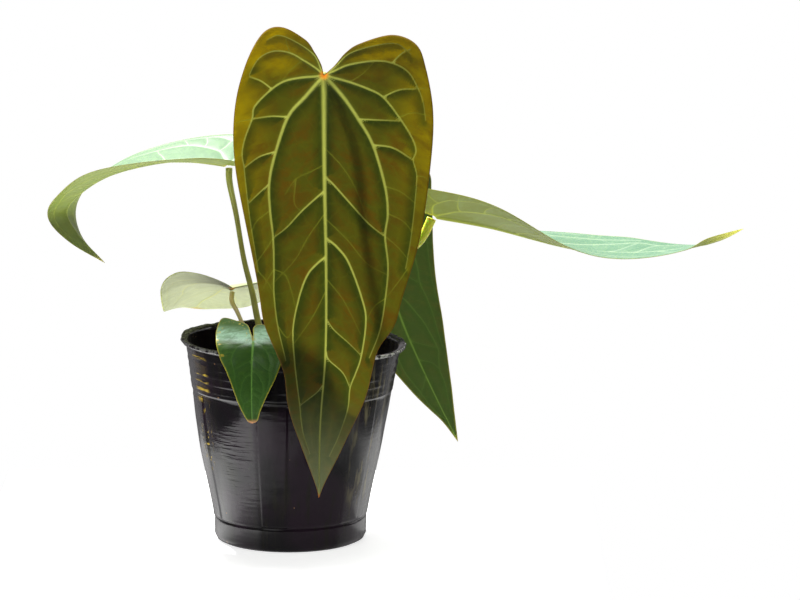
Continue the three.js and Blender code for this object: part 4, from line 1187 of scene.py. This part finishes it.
potLook = {
    "black": "0b090c", "purple": "1a1019", "olive": "16150d", "rubbed": "b09428", "sheenStreak": "766e4e",
    "dust": "6e5238", "lip": "c4c4bc", "edge": "3a383a", "roughness": 0.15, "shine": 0.21, "dim": 0.1,
}
# where marks lie: from and to in degrees around, then in mm of height, each with its soft edge
potMarks = {
    "rubbed": ((-67.0, -54.0, 2.5), (79.0, 105.0, 1.5)),
    "specks": ((-67.0, -56.0, 2.5), (44.0, 84.0, 8.0)),
    "streaks": ((42.0, 72.0, 5.0), (26.0, 104.0, 12.0)),
    "creases": ((-46.0, -22.0, 6.0), (24.0, 66.0, 12.0)),
}


def makePotMaterial():
    material, tree, skin, out = newMaterial("blackPlastic")
    place = addNode(tree, "ShaderNodeTexCoord", None, "Object")
    around, high, crest = [attributeOf(tree, name) for name in ("around", "high", "crest")]
    fine = noise(place, 420.0, 3.0)
    streak = noise(stretched(place, 240.0, 240.0, 9.0), 1.0, 3.0)
    scratch = noise(stretched(place, 60.0, 60.0, 700.0), 1.0, 2.0)

    def window(value, low, top, soft):
        return times(grow(value, low - soft, low + soft), fade(value, top - soft, top + soft))

    def marked(name):
        return times(window(around, *potMarks[name][0]), window(high, *potMarks[name][1]))

    colour = blend(grow(noise(place, 30.0, 2.0), 0.4, 0.6), potLook["black"], potLook["purple"])
    colour = blend(grow(streak, 0.5, 0.68, 0.7), colour, potLook["olive"])
    # rubbed dashes on the rings at the left, specks below them, and dull light streaks at the right, partly
    # wear and partly painted reflection of the bright room
    dash = times(grow(crest, 0.25, 0.6, start=0.05), grow(scratch, 0.44, 0.54))
    speck = times(grow(fine, 0.54, 0.64, 0.6), grow(streak, 0.46, 0.6))
    rubbed = timesPlus(marked("rubbed"), dash, times(marked("specks"), speck))
    right = marked("streaks")
    colour = blend(times(right, grow(streak, 0.48, 0.66, 0.55)), colour, potLook["sheenStreak"])
    colour = blend(rubbed, colour, potLook["rubbed"])
    # light edge of the lip, broken up and lighter towards the right, and a few crumbs of dust
    lipEdge = times(grow(attributeOf(tree, "brink"), 0.35, 0.9), grow(fine, 0.44, 0.6, 0.9),
                 grow(around, 10.0, 40.0, start=0.3))
    colour = blend(lipEdge, colour, potLook["lip"])
    colour = blend(grow(noise(place, 260.0, 1.0), 0.79, 0.8, 0.9), colour, potLook["dust"])
    worn = plus(times(streak, 0.16), times(right, 0.08))
    worn = plus(worn, times(plus(rubbed, lipEdge), 0.3))
    crease = times(scratch, timesPlus(marked("creases"), 1.9, 0.3))
    normal = bumped(timesPlus(streak, 0.55, timesPlus(fine, 0.3, crease)), 0.35, 0.0004)
    # the flat parts between the ribs mirror the bright table at the sides only
    shine = sums("MAXIMUM", fade(around, -25.0, -20.0, potLook["shine"], potLook["dim"]),
                 fade(around, 36.0, 44.0, potLook["dim"], potLook["shine"]))
    setInputs(skin, {
        "Base Color": colour, "Roughness": plus(worn, potLook["roughness"] - 0.08),
        "Specular IOR Level": shine, "Normal": normal})
    # dull skin that holds back the mirror-like edges
    dull = addNode(tree, "ShaderNodeBsdfDiffuse", {"Color": tone(potLook["edge"]), "Normal": normal})
    facing = addNode(tree, "ShaderNodeLayerWeight", {"Blend": 0.5}, "Facing")
    mixSurface(out, grow(facing, 0.45, 0.9, 0.85), skin.outputs[0], dull)
    return material


potPiece = runTree(plainPot(), makePotTree(), {**potRelief, "Material": makePotMaterial()}, "pot_shell")
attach(potPiece, "root")
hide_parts("pot")
say(f"pot: {len(potPiece.data.polygons)} faces")


mediumShape = {
    "level": 90.4, "floor": 1.7, "gap": 0.5, "roughness": 2.2,
    "socketRadius": 8.4, "socketFloor": 66.0, "plantCentre": 1.6, "directions": 120,
}
mediumChips = {
    "Chip Count": 2400.0,     # per square metre times ten
    "Chip Length": 0.0095, "Chip Width": 0.005, "Chip Thickness": 0.0032,
    "Chip Tilt": 0.55, "Chip Wear": 0.0016, "Seed": 7,
}


def ringAt(centre, radius, angle, height):
    return np.stack([centre + radius * np.cos(angle), radius * np.sin(angle),
                     np.full(len(angle), height)], -1)


def plainMedium():
    p, m = potShape, mediumShape
    around = m["directions"]
    degrees = np.arange(around) * 360.0 / around - 180.0
    inside, collar = p["wall"] + m["gap"], p["stepRadius"] + p["stepOut"]
    sides = [(p["baseRadius"] - 0.6, m["floor"]), (p["footRadius"] - p["wall"] - 0.7, 4.2),
             (p["footRadius"] - inside, p["footHeight"] + 0.8),
             (p["stepRadius"] - inside - 0.1, p["stepHeight"] - 0.4),
             (collar - inside, m["level"] - 5), (collar - p["wall"] - 0.3, m["level"] - 0.6)]
    rings = [potSettled(radius, degrees, height) for radius, height in sides]
    draw = np.random.default_rng(11)
    for radius in np.linspace(50.5, 10.5, 28):
        share = draw.random(around)
        rings.append(potSettled(radius + (share - 0.5) * 0.8, degrees, m["level"] + m["roughness"] * share))
    for height in (m["level"] + 1.2, m["socketFloor"]):
        rings.append(ringAt(m["plantCentre"], m["socketRadius"], np.radians(degrees - 90), height))
    points, faces = tube(rings, [(0, 0, m["floor"]), (m["plantCentre"], 0, m["socketFloor"])])
    piece = addMesh("medium_plain", points, faces, None)
    piece.data.polygons.foreach_set("use_smooth", [False] * len(faces))
    # chips lie only on the open top, clear of the wall and of the crown
    reach = np.hypot(points[:, 0] - m["plantCentre"], points[:, 1])
    onTop = (points[:, 2] > m["level"] - 2.5) & (reach > 14.5) & (np.hypot(points[:, 0], points[:, 1]) < 46)
    addAttribute(piece, "open", onTop)
    return piece


def makeMediumTree():
    tree, given, out = geometryTree("barkChips", mediumChips)
    seed, tilt = given["Seed"], given["Chip Tilt"]

    def drawn(low, high, shift):
        return addNode(tree, "FunctionNodeRandomValue", {0: low, 1: high, "Seed": shift},
                       data_type="FLOAT_VECTOR")

    points = addNode(tree, "GeometryNodeDistributePointsOnFaces", {
        "Mesh": given["Geometry"], "Density Max": times(given["Chip Count"], 25.0), "Distance Min": 0.0032,
        "Density Factor": named(tree, "open"), "Seed": seed}, "Points", distribute_method="POISSON")
    block = addNode(tree, "GeometryNodeMeshCube", {
        "Size": joinXyz(tree, given["Chip Length"], given["Chip Width"], given["Chip Thickness"]),
        "Vertices X": 4, "Vertices Y": 3, "Vertices Z": 2})
    back = times(tilt, -1.0)
    turned = drawn(joinXyz(tree, back, back), joinXyz(tree, tilt, tilt, 2 * math.pi), seed)
    grown = drawn((0.45, 0.5, 0.5), (1.3, 1.3, 1.25), plus(seed, 3))
    chips = addNode(tree, "GeometryNodeInstanceOnPoints", {
        "Points": points, "Instance": block, "Rotation": turned, "Scale": grown})
    shade = addNode(tree, "FunctionNodeRandomValue", {"Seed": plus(seed, 5)}, 1, data_type="FLOAT")
    shaded = addNode(tree, "GeometryNodeStoreNamedAttribute", {
        "Geometry": chips, "Name": "chipTone", "Value": shade}, data_type="FLOAT", domain="INSTANCE")
    loose = addNode(tree, "GeometryNodeRealizeInstances", {"Geometry": shaded})
    place = addNode(tree, "GeometryNodeInputPosition")
    wear = vectors("SUBTRACT", noise(place, 260.0, 1.0, output="Color"), (0.5, 0.5, 0.5))
    worn = addNode(tree, "GeometryNodeSetPosition", {
        "Geometry": loose, "Offset": vectors("SCALE", wear, given["Chip Wear"])})
    joined = tree.nodes.new("GeometryNodeJoinGeometry")
    for part in (given["Geometry"], worn):
        tree.links.new(part, joined.inputs[0])
    flat = addNode(tree, "GeometryNodeSetShadeSmooth", {"Geometry": joined.outputs[0], "Shade Smooth": False})
    finishTree(given, out, flat)
    return tree


def makeMediumMaterial():
    material, tree, skin, out = newMaterial("barkMix")
    place = addNode(tree, "ShaderNodeTexCoord", None, "Object")
    grain, crumbs = noise(place, 300.0, 4.0), noise(place, 900.0, 2.0)
    colour = blend(grow(grain, 0.35, 0.65), "2a1c14", "4a3424")
    colour = blend(grow(attributeOf(tree, "chipTone"), 0.3, 0.9, 0.7), colour, "6b4a30")
    colour = blend(grow(crumbs, 0.62, 0.7, 0.6), colour, "9a8060")
    setInputs(skin, {
        "Base Color": colour, "Roughness": 0.88,
        "Normal": bumped(timesPlus(crumbs, 0.4, grain), 0.7, 0.0008)})
    return material


mediumPiece = runTree(plainMedium(), makeMediumTree(), {**mediumChips, "Material": makeMediumMaterial()},
                      "bark_and_fibre")
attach(mediumPiece, "root")
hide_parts("growing_medium")
say(f"growing medium: {len(mediumPiece.data.polygons)} faces")


crownShape = {
    "radius": 8.0, "foot": 66.4, "top": 108.0, "dome": 3.2,
    "scarStart": 92.0, "scarSpacing": 3.2, "scarDepth": 0.55, "scarWidth": 0.16, "scarWave": 0.5,
    "nubs": 9, "nubHeight": 1.3, "nubSize": 1.5, "nubLevels": (94.5, 101.0),
    "sides": 96, "rings": 150,
}


def makeCrownMaterial():
    material, tree, skin, out = newMaterial("crownSkin")
    place = addNode(tree, "ShaderNodeTexCoord", None, "Object")
    fibre = noise(stretched(place, 600.0, 600.0, 90.0), 1.0, 4.0)
    colour = blend(grow(noise(place, 160.0, 3.0), 0.4, 0.6), "6c6a3c", "5a4a2c")
    colour = blend(grow(fibre, 0.55, 0.7, 0.6), colour, "a08c5c")
    setInputs(skin, {"Base Color": colour, "Roughness": 0.7, "Normal": bumped(fibre, 0.5, 0.0006)})
    return material


def addCrown():
    c = crownShape
    centre = mediumShape["plantCentre"]
    angle = np.arange(c["sides"]) * 2 * math.pi / c["sides"]
    heights = np.concatenate([np.linspace(c["foot"], c["scarStart"], 14)[:-1],
                              np.linspace(c["scarStart"], c["top"] - 0.15, c["rings"])])
    draw = np.random.default_rng(5)
    nubs = [(draw.uniform(0, 2 * math.pi), draw.uniform(*c["nubLevels"]), draw.uniform(0.7, 1.0))
            for _ in range(c["nubs"])]
    rings = []
    for height in heights:
        radius = np.full(c["sides"], c["radius"])
        if height > c["scarStart"]:
            wave = c["scarWave"] * np.sin(2 * angle + height * 0.4) + 0.25 * np.sin(5 * angle)
            part = np.mod(height - c["scarStart"] + wave, c["scarSpacing"]) / c["scarSpacing"]
            radius = radius - c["scarDepth"] * np.exp(-((part - 0.5) / c["scarWidth"]) ** 2)
            radius = radius + 0.12 * np.sin(17 * angle + height) * np.sin(height * 1.9)
            for turn, level, size in nubs:
                off = np.mod(angle - turn + math.pi, 2 * math.pi) - math.pi
                spread = (off * c["radius"] / c["nubSize"]) ** 2 + ((height - level) / c["nubSize"]) ** 2
                radius = radius + c["nubHeight"] * size * np.exp(-spread)
        dome = np.clip((height - (c["top"] - c["dome"])) / c["dome"], 0.0, 1.0)
        radius = radius * math.sqrt(max(1 - dome ** 2, 0.002))
        foot = np.clip((height - c["foot"]) / 2.0, 0.0, 1.0)
        rings.append(ringAt(centre, radius - (1 - foot), angle, height))
    points, faces = tube(rings, [(centre, 0, c["foot"]), (centre, 0, c["top"])])
    piece = addMesh("crown_stem", points, faces, makeCrownMaterial())
    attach(piece, "root")
    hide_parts("crown")


addCrown()
say("crown")
